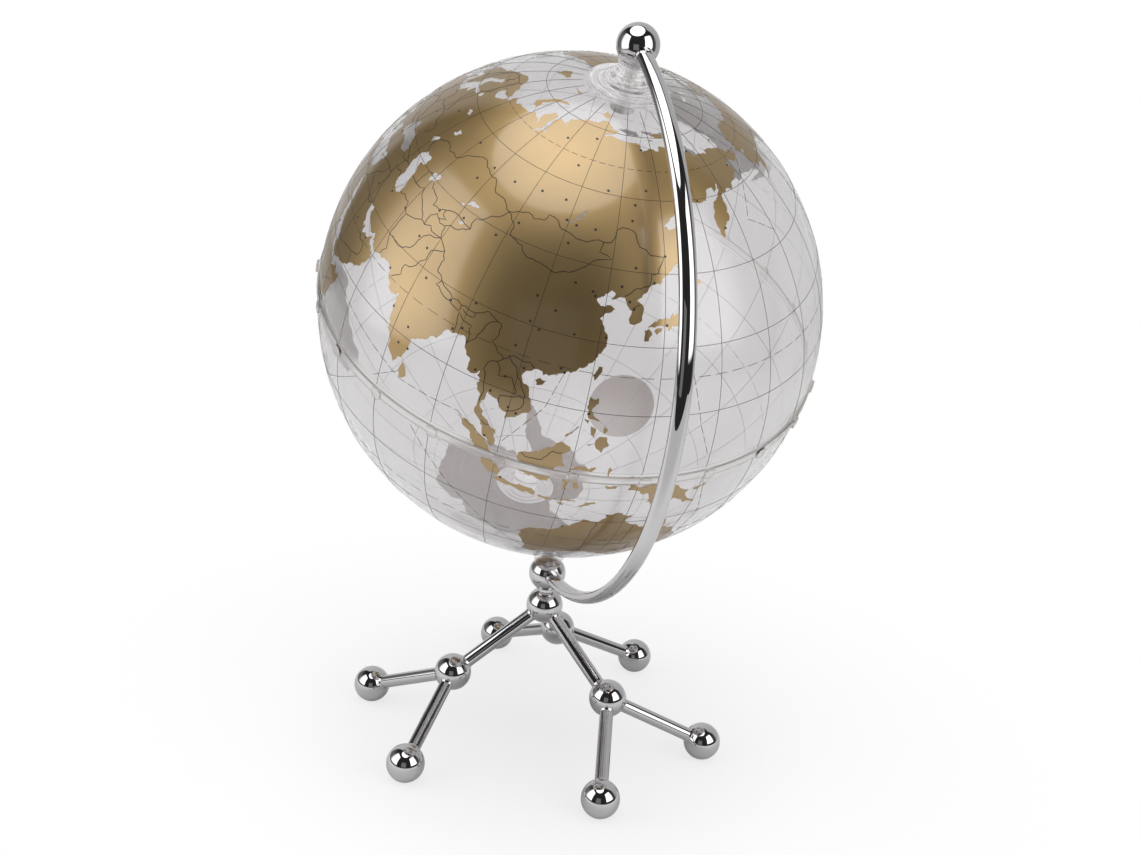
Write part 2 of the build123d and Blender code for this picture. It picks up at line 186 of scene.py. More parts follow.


# Coasts, lakes, borders and routes, drawn as longitude and latitude; a coast is one closed line
EURASIA = places("""
    25.8 71.1, 20 69.9, 15.5 68.4, 12.9 66.5, 11 64.4, 8 63.3, 5.1 62, 4.9 60.5, 5.6 58.8, 7 58, 8.6 58.3,
    10.5 59.3, 11.2 58.8, 11.8 57.6, 12.8 56, 12.9 55.4, 14.2 55.4, 14.6 56, 16.2 56.4, 16.6 57.8,
    17.9 58.8, 18.9 59.9, 17.2 60.8, 17.3 62.2, 19 63.2, 21.3 64.6, 22.2 65.7, 24.2 65.8, 25.4 65,
    23.5 64, 21.3 62.8, 21.4 61.3, 22.8 59.9, 25 60.2, 28 60.5, 30 59.9, 27.9 59.5, 25.5 59.5, 23.5 59.2,
    23.6 58.4, 24.4 57.3, 23 57.1, 21.6 57.5, 21 56.2, 20 54.8, 18.6 54.6, 16.3 54.4, 14.2 53.9,
    12.3 54.3, 10.9 54, 9.9 54.9, 10.5 56.4, 10.5 57.7, 9 57.1, 8.1 56.4, 8.3 55.2, 8.8 54.1, 8 53.7,
    6.9 53.4, 4.9 53, 4 52, 3.2 51.4, 1.7 50.9, 1.4 50.1, 0.1 49.4, -1.5 49.7, -1.6 48.7, -4.6 48.6,
    -4.4 47.9, -2.6 47.4, -1.2 46.1, -1.3 44.4, -1.8 43.4, -4 43.5, -7.9 43.8, -9.2 43.1, -8.8 41.5,
    -9.4 38.8, -8.9 37, -7.2 37.1, -6.2 36.4, -5.4 36.1, -2.2 36.8, -0.7 37.7, 0.2 38.8, -0.3 39.6, 1 41,
    3.2 41.9, 3.1 43.1, 4.6 43.4, 6.4 43.1, 7.6 43.8, 8.9 44.4, 10.2 43.9, 11.1 42.4, 12.4 41.7,
    14.2 40.8, 15.6 40, 15.8 38, 16.6 38.6, 17.1 39.2, 16.8 40.4, 18.4 39.9, 18.2 40.6, 16 41.8,
    14.6 42.2, 13.6 43.5, 12.3 44.5, 12.4 45.4, 13.7 45.6, 13.6 44.9, 15.2 44.1, 17 43, 19.3 41.9,
    19.4 40.5, 20.7 39, 21.3 37.7, 22.4 36.5, 23.1 36.5, 22.9 37.5, 24 37.8, 22.9 39.3, 22.8 40.5,
    24.4 40.2, 26.1 40.8, 26.2 39.4, 26.8 38.3, 27.3 37, 28.3 36.7, 30.6 36.7, 32.8 36, 34.6 36.8,
    36.1 36.6, 35.9 35.4, 35 32.8, 34.2 31.3, 32.6 31.1, 32.6 29.9, 33.2 28.6, 34.2 27.8, 34.9 29.4,
    35.2 28.1, 37.2 25.9, 38.8 23.3, 39.2 21.2, 41.2 18.6, 42.6 16.6, 43.2 13.2, 43.5 12.7, 45 12.8,
    48.7 14, 52.2 15.6, 53.4 16.7, 55.4 17.8, 57.8 19, 58.8 20.6, 59.8 22.5, 58.6 23.6, 56.8 24.3,
    56.3 26.2, 54.5 24.4, 51.8 24.2, 51.5 25.8, 50.8 25.2, 50.1 26.6, 48.7 28.4, 48 29.9, 50.2 30,
    51.2 27.9, 54.3 26.6, 56.6 27.1, 57.3 25.7, 61.6 25.1, 64.6 25.3, 66.7 24.9, 67.5 23.9, 69 22.3,
    70.4 20.9, 72 21.2, 72.6 22.2, 72.8 20.5, 72.9 18.6, 73.6 15.8, 74.8 12.8, 76.3 9.7, 77.5 8.1,
    78.2 8.9, 79.3 10.3, 79.9 11.8, 80.3 13.6, 80.1 15.4, 82.2 16.6, 84.2 18.6, 86.5 20.2, 87 21.5,
    88.8 21.7, 90.5 22.2, 91.8 22.4, 92.4 20.6, 94.2 18.7, 94.4 16.1, 95.4 15.7, 97.2 17, 97.8 14.8,
    98.7 12, 98.5 10, 98.3 8.2, 99.7 6.5, 100.4 5.4, 101.3 2.9, 103.5 1.3, 104.2 1.4, 103.5 3.6,
    103.1 5.5, 101.8 6.4, 100.3 7.6, 100.2 8.6, 99.2 9.6, 99.9 12, 100.1 13.4, 100.9 12.8, 102.5 12,
    103.6 10.5, 104.8 10.3, 104.8 8.7, 106.6 9.8, 107.4 10.6, 109.2 11.8, 109.2 13.6, 108.2 16, 106.4 18,
    105.8 19.4, 106.8 20.7, 108.3 21.6, 109.7 21.5, 110 20.4, 110.6 21.2, 113 22, 114.2 22.4, 116.6 23.2,
    118.2 24.4, 119.6 25.8, 121 28, 121.9 29.6, 121.8 31.3, 120.7 33, 119.3 34.8, 120.4 36.1, 122.5 37.2,
    120.8 37.8, 119 37.3, 117.7 38.6, 119.2 39.3, 121 40.8, 122 40.4, 121.3 38.9, 123.2 39.7, 124.6 39.7,
    125.2 38.2, 126.6 37.2, 126.3 34.6, 128 34.7, 129.3 35.6, 129.4 37.1, 127.6 39.3, 129.7 41,
    130.7 42.3, 132 43.2, 133.6 42.9, 135.5 44.6, 138.3 46.9, 140.2 48.8, 140.4 51, 141.2 52.6,
    139.6 54.2, 137.3 53.9, 135.3 54.8, 138 56.4, 140.5 57.9, 143.2 59.4, 148.6 59.5, 151.2 59.1,
    153 59.2, 155 59.4, 156.7 61.5, 160.2 61.9, 160.4 60.7, 163.2 62.3, 164.6 62.5, 163.3 61, 161.9 60.4,
    160 59.3, 157 57.8, 155.8 56, 155.6 54, 156.7 51.1, 158.4 53, 160 54.2, 162.2 54.8, 162 56.2,
    163.2 57.8, 163.3 59.6, 166.2 60, 170.4 60, 172.6 61.3, 177.4 62.5, 179.5 62.8, 178.6 64.4,
    177.5 64.8, 182.2 65.4, 184.5 64.4, 187.6 64.4, 190 66.1, 184.6 67, 180.6 68.8, 176 69.8, 170.5 69.9,
    170 68.9, 164 69.7, 160.9 69.5, 159.5 70.8, 152.8 70.9, 149 72.2, 140.5 72.8, 139.5 71.5, 133 71.8,
    129.5 71.2, 129 72.4, 126.5 73.4, 123.5 73.2, 119 73.1, 113.5 73.6, 110 74, 106 73.2, 112 74.6,
    113.8 75.6, 107 76.6, 104.3 77.7, 98 76.3, 93 76.1, 87 75.1, 80.6 73.6, 80.5 72.5, 82.6 71, 78.5 72.3,
    75 72.8, 73.4 71.4, 74.6 68.8, 77.4 67.8, 73.9 67.6, 72 66.3, 71.2 66.8, 73 68.6, 72 70.4, 72.8 72.7,
    69.9 73, 67 71.2, 66.8 69.5, 68.9 68.3, 64.9 69.2, 60.5 69.8, 59 68.6, 54.5 68.5, 48 67.6, 46 68.1,
    43.4 68.6, 44.1 66.3, 42 66.4, 39.8 64.7, 36.9 63.9, 34.8 64.4, 32.6 67, 35.5 66.5, 40.8 66.3,
    41.2 67.3, 36.5 69.1, 31 70.2, 28.5 71
""")
AFRICA = places("""
    32.5 30, 33.8 27.2, 35.6 23.9, 37.2 21, 37.4 18.8, 39.6 15.4, 42.4 12.8, 43.2 11.6, 44.8 10.4,
    51.2 11.8, 50.8 9.4, 48.4 5, 45.6 2.2, 42 -1.2, 39.6 -4.4, 38.8 -6.4, 39.6 -8.8, 40.6 -10.8, 40.6 -15,
    38.2 -17.2, 35 -19.8, 35.5 -23.6, 32.9 -25.8, 32.6 -28, 30.8 -30.8, 27.8 -33.1, 25.6 -34, 20 -34.8,
    18.4 -34.2, 18.2 -32, 16.6 -28.6, 14.6 -23.4, 12 -18, 11.8 -17, 13.6 -12.6, 13.2 -8.8, 12.2 -6,
    9.6 -2.4, 9.4 1, 9.8 3, 8.6 4.6, 6.2 4.3, 4.4 6.3, 1.2 6, -2 4.8, -7.6 4.4, -11.4 6.8, -13.2 8.8,
    -15 10.8, -16.8 12.4, -17.4 14.7, -16.5 16.2, -16.2 19, -17 21.2, -15.8 23.9, -14.4 26.2, -12.9 27.9,
    -9.8 29.6, -9.8 31.4, -6.8 34, -5.4 35.9, -2.2 35.1, 1.2 36.4, 5.4 36.8, 9.8 37.3, 11 37, 10.2 34.2,
    11.2 33.2, 15.2 32.3, 16 31.2, 19 30.3, 20.1 31, 20.2 32.4, 21.8 32.9, 25 31.6, 29 30.9, 31 31.5,
    32.3 31.2
""")
NORTH_AMERICA = places("""
    -168 65.6, -164 66.6, -162 66.2, -166.6 68.4, -161 70.3, -156.6 71.3, -150 70.4, -141 69.6, -136 69,
    -129 70, -124.4 70.1, -121 69.7, -114.2 67.8, -108 67.8, -103 67.8, -96 68.2, -94 71.9, -90 69.2,
    -88 68.7, -85.5 69.7, -81.4 69.2, -81.4 67.5, -86.2 66.4, -87.4 64.6, -93 62, -94.6 59, -92.6 57,
    -85 55.3, -82.2 53, -80 51.3, -79 52.8, -79.2 54.8, -76.8 56.8, -78.2 58.6, -77.6 60.6, -78 62.4,
    -73.6 62.4, -69.6 60.8, -67.6 58.3, -64.6 60.3, -61.6 57.2, -57.8 54.6, -55.8 52.6, -60 50.2,
    -66.6 50.2, -69.8 47.4, -65.2 49, -64.4 48.4, -64.8 46.6, -61.2 45.8, -60.4 46.6, -61.2 45.2,
    -65.6 43.5, -66.2 44.6, -67 44.8, -70.2 43.6, -70 41.8, -74 40.6, -75.6 37.6, -76 36.8, -75.6 35.2,
    -78.4 33.8, -81 31.8, -81.4 30, -80.1 26.8, -80.6 25.2, -81.8 26, -82.8 28, -84 30, -86.2 30.4,
    -89.4 30.2, -90 29.2, -93.4 29.8, -96.6 28.4, -97.4 26, -97.6 22.6, -96 19.2, -94.2 18.2, -91.8 18.6,
    -90.4 20.8, -87.2 21.5, -87.6 19, -88.6 16, -84 15.8, -83.4 14.8, -83.6 11, -82 9, -79.6 9.6,
    -77.4 8.6, -77.9 7.6, -78.4 8.2, -80.2 7.4, -82.8 8.2, -85.6 10, -87.6 12.9, -91.4 13.9, -94.6 16.2,
    -97.8 16, -101.8 17.8, -105.4 20, -105.6 22.6, -108.8 25.4, -112.2 29.2, -114.6 31.6, -112.8 28.2,
    -110.4 24.4, -109.6 23, -112.2 25.6, -114.8 28, -116.2 30.8, -117.2 32.8, -120.6 34.5, -122.4 37.2,
    -124.2 40.2, -124.2 43.6, -124.4 47.8, -122.6 48.6, -127.6 51, -130.4 54.6, -133.8 57.8, -138 59.1,
    -144 60, -148.4 60.2, -151.6 59.4, -150.2 61.2, -153.8 59.2, -158.2 56.6, -163.6 54.8, -160.4 56,
    -157.4 58.8, -162 58.8, -165.6 61.4, -164.4 63.2, -161 64.4, -166 64.5
""")
SOUTH_AMERICA = places("""
    -77.4 8.4, -75.6 10.6, -72 12.1, -71.4 10.9, -68.4 11.4, -64.2 10.4, -61.8 10.7, -60 8.4, -57 6,
    -52 4.6, -50.2 1.8, -49.6 -0.4, -48 -0.8, -44.4 -2.6, -41.4 -2.9, -37.2 -4.8, -35.2 -5.6, -34.8 -7.6,
    -37 -11.2, -39 -13.2, -39.2 -17.8, -41 -21.6, -42.2 -22.9, -44.8 -23.2, -48.4 -26, -48.8 -28.6,
    -52.2 -32.4, -54.4 -34.8, -57.8 -34.4, -57.2 -36.2, -57.6 -38.1, -62.2 -38.9, -62.4 -41, -65 -41,
    -64 -42.6, -65.4 -44.8, -67.4 -46.2, -65.8 -47.6, -69 -50.6, -68.4 -52.4, -65.4 -54.8, -69.8 -55.2,
    -74.4 -52.6, -75.4 -48.4, -75.4 -46.6, -73 -44, -73.8 -41.4, -73.4 -37.2, -71.6 -33, -71.4 -29.6,
    -70.4 -25, -70.2 -19.4, -72.4 -17, -76.2 -14, -78 -10.2, -79.8 -7, -81.2 -5, -80 -3, -80.8 -1.8,
    -80 0.6, -78.6 1.6, -77.2 3.8, -77.8 7
""")
GREENLAND = places("""
    -43.8 60, -48.4 61, -51.4 64.2, -53.6 67, -51 69.8, -54.4 71.4, -58.4 75.4, -68.4 76.2, -72.8 78.2,
    -65 80.6, -60 82, -46 82.8, -32.6 83.2, -21.6 82.6, -16.6 80.2, -19.4 76.4, -21.8 73, -22.4 70.4,
    -32 68.2, -39.8 65.6, -42.4 62.4
""")
AUSTRALIA = places("""
    113.7 -22.6, 114.2 -21.8, 116.8 -20.6, 119 -20, 121.6 -18.8, 122.2 -17.4, 123.6 -17.4, 124.4 -16.2,
    126 -14.2, 128 -14.9, 129.6 -14.8, 130.8 -12.4, 132.6 -11.5, 136.8 -12.2, 135.9 -13.4, 135.6 -15,
    137.5 -16.1, 139.3 -17.4, 140.9 -17.5, 141.7 -14.6, 142.5 -10.8, 143.6 -14.3, 145.3 -15.2,
    146.2 -18.8, 148.8 -20.4, 150.8 -22.8, 153 -25.4, 153.6 -28.6, 152.6 -32, 151 -34.4, 149.9 -37.4,
    147.2 -38.1, 146.2 -39, 144.6 -38.2, 143.4 -38.8, 140.6 -38, 139 -35.8, 138.2 -34.4, 137.2 -35.2,
    137.8 -33, 135.8 -34.8, 134 -32.8, 131 -31.5, 126.2 -32.3, 123.8 -33.9, 119.8 -34, 118 -35.1,
    115.1 -34.3, 115.8 -32, 114.2 -27.4, 113.4 -25.6, 114 -24
""")
ANTARCTICA = places("""
    -180 -83.6, -168 -79, -158 -77.6, -146 -76.6, -136 -75.4, -120 -74.2, -110 -74.8, -101 -73.6, -90 -74,
    -82 -74, -73.4 -73.9, -70 -72.4, -66.8 -69.9, -63.7 -67.1, -60.6 -65.2, -57.8 -64, -58.2 -67,
    -58.1 -69.6, -57 -72.8, -58.6 -75.6, -64 -77.6, -66 -80, -56 -81.6, -46 -81.1, -41.7 -79.4, -35 -79.6,
    -27 -77.6, -18 -75.4, -10 -73.6, 0 -72, 9 -70, 18 -69.5, 30 -69.2, 40 -67.8, 50 -66.2, 57 -65.8,
    66 -66.6, 70 -70, 74 -68.4, 82 -66.2, 92 -65.4, 105 -64.8, 115 -65, 130 -65.6, 142 -66.6, 150 -68.6,
    155 -72, 155.4 -75.4, 154 -80.2, 168 -83.4
""")
ISLANDS = place_lists("""
    -5.6 50.1, -3.5 50.3, 1.3 51.2, 1.6 52.7, 0.2 53.1, -1.2 54.7, -2 56, -3 56.1, -2 57.5, -4 57.7,
    -3.2 58.6, -5 58.5, -5.7 57.2, -5.5 55.6, -4.9 54.7, -3.1 54.8, -3 53.4, -4.5 53.2, -4.3 52.2,
    -5.2 51.8, -3.2 51.4;
    -6.2 53.4, -6.3 52.2, -9.6 51.6, -10 53.4, -8.4 54.4, -7.4 55.3, -5.7 54.5;
    -22.5 63.9, -18.7 63.4, -14.6 64.4, -14.9 66.2, -18 66.1, -22.4 66.4, -24.2 65.5, -22 64.6;
    12.5 38, 15.5 38.2, 15.1 36.7;
    8.4 39, 9.6 39.2, 9.6 41.1, 8.3 40.8;
    8.7 41.6, 9.5 42.2, 9.3 42.9, 8.7 42.4;
    23.6 35.2, 26.2 35, 26.2 35.3, 23.6 35.6;
    32.4 34.9, 33.8 34.9, 34.4 35.6, 32.9 35.3;
    51.6 71.6, 55 70.7, 57.5 70.7, 55.6 72.4, 58 74, 61.5 75.4, 68.5 76.6, 65 76.9, 58 75.8, 54.8 73.8,
    52.6 72.2;
    10.8 79.5, 16.6 76.6, 21 78.4, 26.5 79.4, 24 80.2, 16 80;
    47 80.5, 58 80.3, 60 81, 50 81;
    95.5 79.2, 101 78.2, 105 79, 98 80.8;
    137.5 75.4, 143 74.9, 150 75.1, 143.5 76, 139 76;
    178.8 70.9, 182.4 71.1, 180.5 71.6;
    142 46, 143.4 46.6, 142.8 47.6, 144.6 49, 143.3 52.4, 142.8 54.3, 141.9 53.4, 142 51, 142.1 48;
    140 41.5, 141.2 42.4, 143.2 42, 145.4 43.3, 144.2 44, 141.8 45.4, 141.4 43.4, 139.9 42.6;
    130.9 34, 132.6 34.2, 133.9 34.6, 135.2 34.6, 135.8 33.5, 136.9 34.6, 138.8 34.7, 139.8 35.2,
    140.8 35.7, 141 37.2, 142 39.5, 141.4 41.3, 140.3 41.1, 139.8 39.4, 138.6 37.4, 137.2 36.8, 137 37.4,
    136 36, 133 35.5, 131 34.4;
    130 33.4, 131 33.9, 131.9 33.2, 131.4 31.4, 130.3 31.2, 130.2 32.4;
    132.4 33.4, 133.2 34.1, 134.6 34.1, 134.1 33.3, 132.9 32.8;
    120.1 23.1, 121 25, 121.9 25, 121.4 23.2, 120.8 22;
    108.7 19.3, 109.6 20, 111 19.9, 110.4 18.7, 109.2 18.3;
    79.8 8.2, 80 9.7, 81.3 8.6, 81.8 7.2, 80.6 5.9, 79.9 6.8;
    120.3 16, 120.5 18.4, 122.2 18.4, 121.6 16, 122 14.4, 124 12.8, 123 13.2, 121 13.6, 120.6 14.4;
    122 7, 123.6 8.6, 125.4 9.7, 126.5 7.6, 125.4 5.7, 124.2 6.4, 123.6 7.6;
    124.4 12.5, 125.6 11.2, 124.9 10.2, 124.6 11.2;
    122 11.8, 123.2 11.2, 123.2 9.2, 122.4 9.8, 122.2 10.6;
    117.2 8.4, 118.6 9.4, 119.6 11.4, 119 10.6;
    120.4 13.4, 121.4 13.2, 121.2 12.3;
    95.3 5.5, 97.5 5.2, 100 2.9, 103 0.6, 104 -1, 106 -3.1, 105.8 -5.8, 104.4 -5.9, 102.2 -3.9, 100.3 -1,
    98.7 1.8, 96.6 3.7;
    105.2 -6.8, 106.8 -6, 108.6 -6.7, 110.8 -6.4, 112.7 -6.9, 114.5 -7.8, 114.4 -8.7, 111 -8.3, 108 -7.8,
    106.4 -7.4;
    115.2 -8.2, 118.9 -8.3, 118.8 -8.8, 115.2 -8.8;
    119.9 -8.5, 122.8 -8.2, 122.8 -8.7, 120 -8.9;
    119 -9.5, 120.2 -9.4, 120.8 -10.2, 119.6 -9.9;
    123.6 -10.3, 125 -8.9, 127.3 -8.4, 126 -9.2;
    109 1.5, 109.6 2, 111.2 2.6, 113 3.2, 115 5, 116.8 7, 119.2 5.2, 117.8 4, 118.8 1, 117.5 0.6,
    116.5 -1.8, 116.2 -3.8, 114.6 -4.1, 113 -3.2, 110.2 -2.9, 109.9 -1.2, 109.1 0.2;
    119.4 -5.4, 120.4 -5.5, 120.3 -3.2, 121 -2.7, 122 -4.8, 122.8 -4.4, 122.2 -3.2, 121.5 -1.9,
    123.2 -0.9, 121.4 -1, 120.2 -0.6, 120.2 0.3, 121 0.45, 123 0.4, 124.4 0.4, 125.2 1.5, 123.8 0.9,
    121 1.2, 119.9 0.6, 119.5 -1.2, 118.9 -2.7, 119.6 -3.6;
    127.6 0.8, 128 2.1, 128.6 1.2, 128 0.2, 128.3 -0.8, 127.8 -0.2;
    128 -3.2, 130.6 -3.1, 130.4 -3.7, 128.2 -3.6;
    131 -0.8, 132.6 -0.4, 134 -0.9, 134.3 -2.6, 135.2 -3.3, 137.6 -1.6, 141 -2.6, 144.5 -3.9, 145.8 -5.2,
    147.6 -6.1, 147 -6.8, 148.6 -9, 150.8 -10.4, 147.4 -9.9, 146 -8.4, 144.4 -7.7, 143.2 -8.9, 141 -9.1,
    139 -8.1, 137.9 -8.3, 138.6 -7, 138 -5.6, 135.8 -4.5, 132.9 -4, 133.2 -2.6, 132 -2.2, 131 -1.4;
    148.4 -5.6, 150.2 -5.4, 152.2 -4.2, 151.6 -5.4, 149.8 -6.3;
    144.7 -40.8, 148.3 -40.9, 148 -43.1, 146 -43.5;
    172.8 -34.5, 174.8 -36.8, 178.3 -37.7, 177 -39.3, 175.2 -41.5, 174.9 -40, 173.8 -39.2, 174.6 -38;
    172.8 -40.6, 174.2 -41.6, 172.8 -43.6, 170.8 -45.8, 168.6 -46.6, 166.6 -45.8, 168.4 -44, 171.2 -42.2;
    164 -20.2, 167 -22.3, 166 -22.1;
    49.3 -12, 50.4 -15.6, 49.2 -18.2, 47.2 -24.9, 45.2 -25.5, 43.4 -22.4, 44.4 -19.8, 44.2 -16.4,
    46.6 -15.6, 48 -13.5;
    -64.6 63.4, -61.6 66.8, -67.8 69.8, -77.4 72.8, -84.8 73.6, -89 71.2, -82 69.8, -73.4 68.2,
    -72.6 66.8, -77.4 64.6, -73 64.4, -66 62;
    -105 69.2, -113.4 68.6, -117.2 70.2, -117.8 72.8, -110 73, -105.2 71.8;
    -125.4 72, -123.2 71.2, -118.4 73.2, -123.8 74.4;
    -80 76.3, -90 76.6, -89 78.4, -92 81, -78 82.9, -62 82.6, -70 80.2, -76 78.6;
    -80.2 74.6, -92 74.8, -91 76.2, -80.4 75.6;
    -93 79, -96 80, -94.6 81.2, -93.4 80;
    -106 75, -116 75.2, -114 76.4, -106 75.9;
    -92 72.8, -102 72, -100 73.8, -92 74;
    -59.2 47.8, -53.2 46.8, -53.6 49, -55.6 51.5, -57.6 50.4;
    -84.8 21.9, -82.4 23.1, -77 21.4, -74.2 20.2, -77.6 19.9, -78.2 20.8, -82 22.4;
    -74.4 18.4, -73.2 19.9, -68.6 18.8, -70.6 18.2;
    -78.2 18.4, -76.4 18.2, -77.4 17.9;
    -128.2 50.8, -125.4 50.2, -123.6 48.6, -125.6 48.9;
    -61 -51.8, -58 -51.4, -58.6 -52.2, -60.6 -52.2
""")
ASIAN_LAKES = place_lists("""
    27.9 42, 28.4 43.6, 29.6 45, 31 46.5, 33 46, 32.6 45.4, 33.6 44.5, 35.3 45, 36.6 45.3, 38.2 44.4,
    41.4 42.8, 41.4 41.5, 38.4 40.9, 35.2 42, 31.4 41.2, 29 41.2;
    47.6 45.6, 51.2 46.9, 53 46.4, 53 45.2, 50.8 44.4, 51.4 43.2, 52.6 41.8, 52.9 40.9, 53.8 39.2,
    53.9 37.2, 51.8 36.6, 49.6 37.5, 48.9 38.6, 49.4 40.3, 48.4 41.9, 47.4 43.4;
    58.4 45.8, 60.2 46.4, 61.6 46.2, 60.6 44.6, 59.2 43.8, 58.3 44.4;
    103.8 51.5, 106 52.2, 108.6 53.4, 109.9 55.5, 108.9 55.2, 107.4 53.6, 105.2 52.2;
    73.5 45.6, 75.5 46.7, 79 46.6, 76 46.2, 74.2 44.9;
    30.8 60.2, 32.8 60.6, 32.6 61.2, 30.6 61.4;
    44.4 48.6, 46.4 50.4, 47.3 50.1, 45.4 48.3;
    47.9 53.5, 49.2 55, 51.2 54.6, 50 53.4;
    39.6 58.2, 41.8 58.7, 43.6 57.7, 41.4 57.5;
    76 42.1, 77.2 42.7, 78.4 42.6, 77.2 41.8
""")
AFRICAN_LAKES = place_lists("""
    31.8 -1.4, 31.8 -2.4, 33.4 -2.2, 33.8 -1.4
""")
AMERICAN_LAKES = place_lists("""
    -92 46.8, -88.2 48.6, -84.8 46.9, -87.4 46.7;
    -87.4 41.9, -86.4 42.4, -85.4 45.2, -87.2 45;
    -84 45.7, -80.4 45, -82.2 43.4, -83.2 44.6
""")
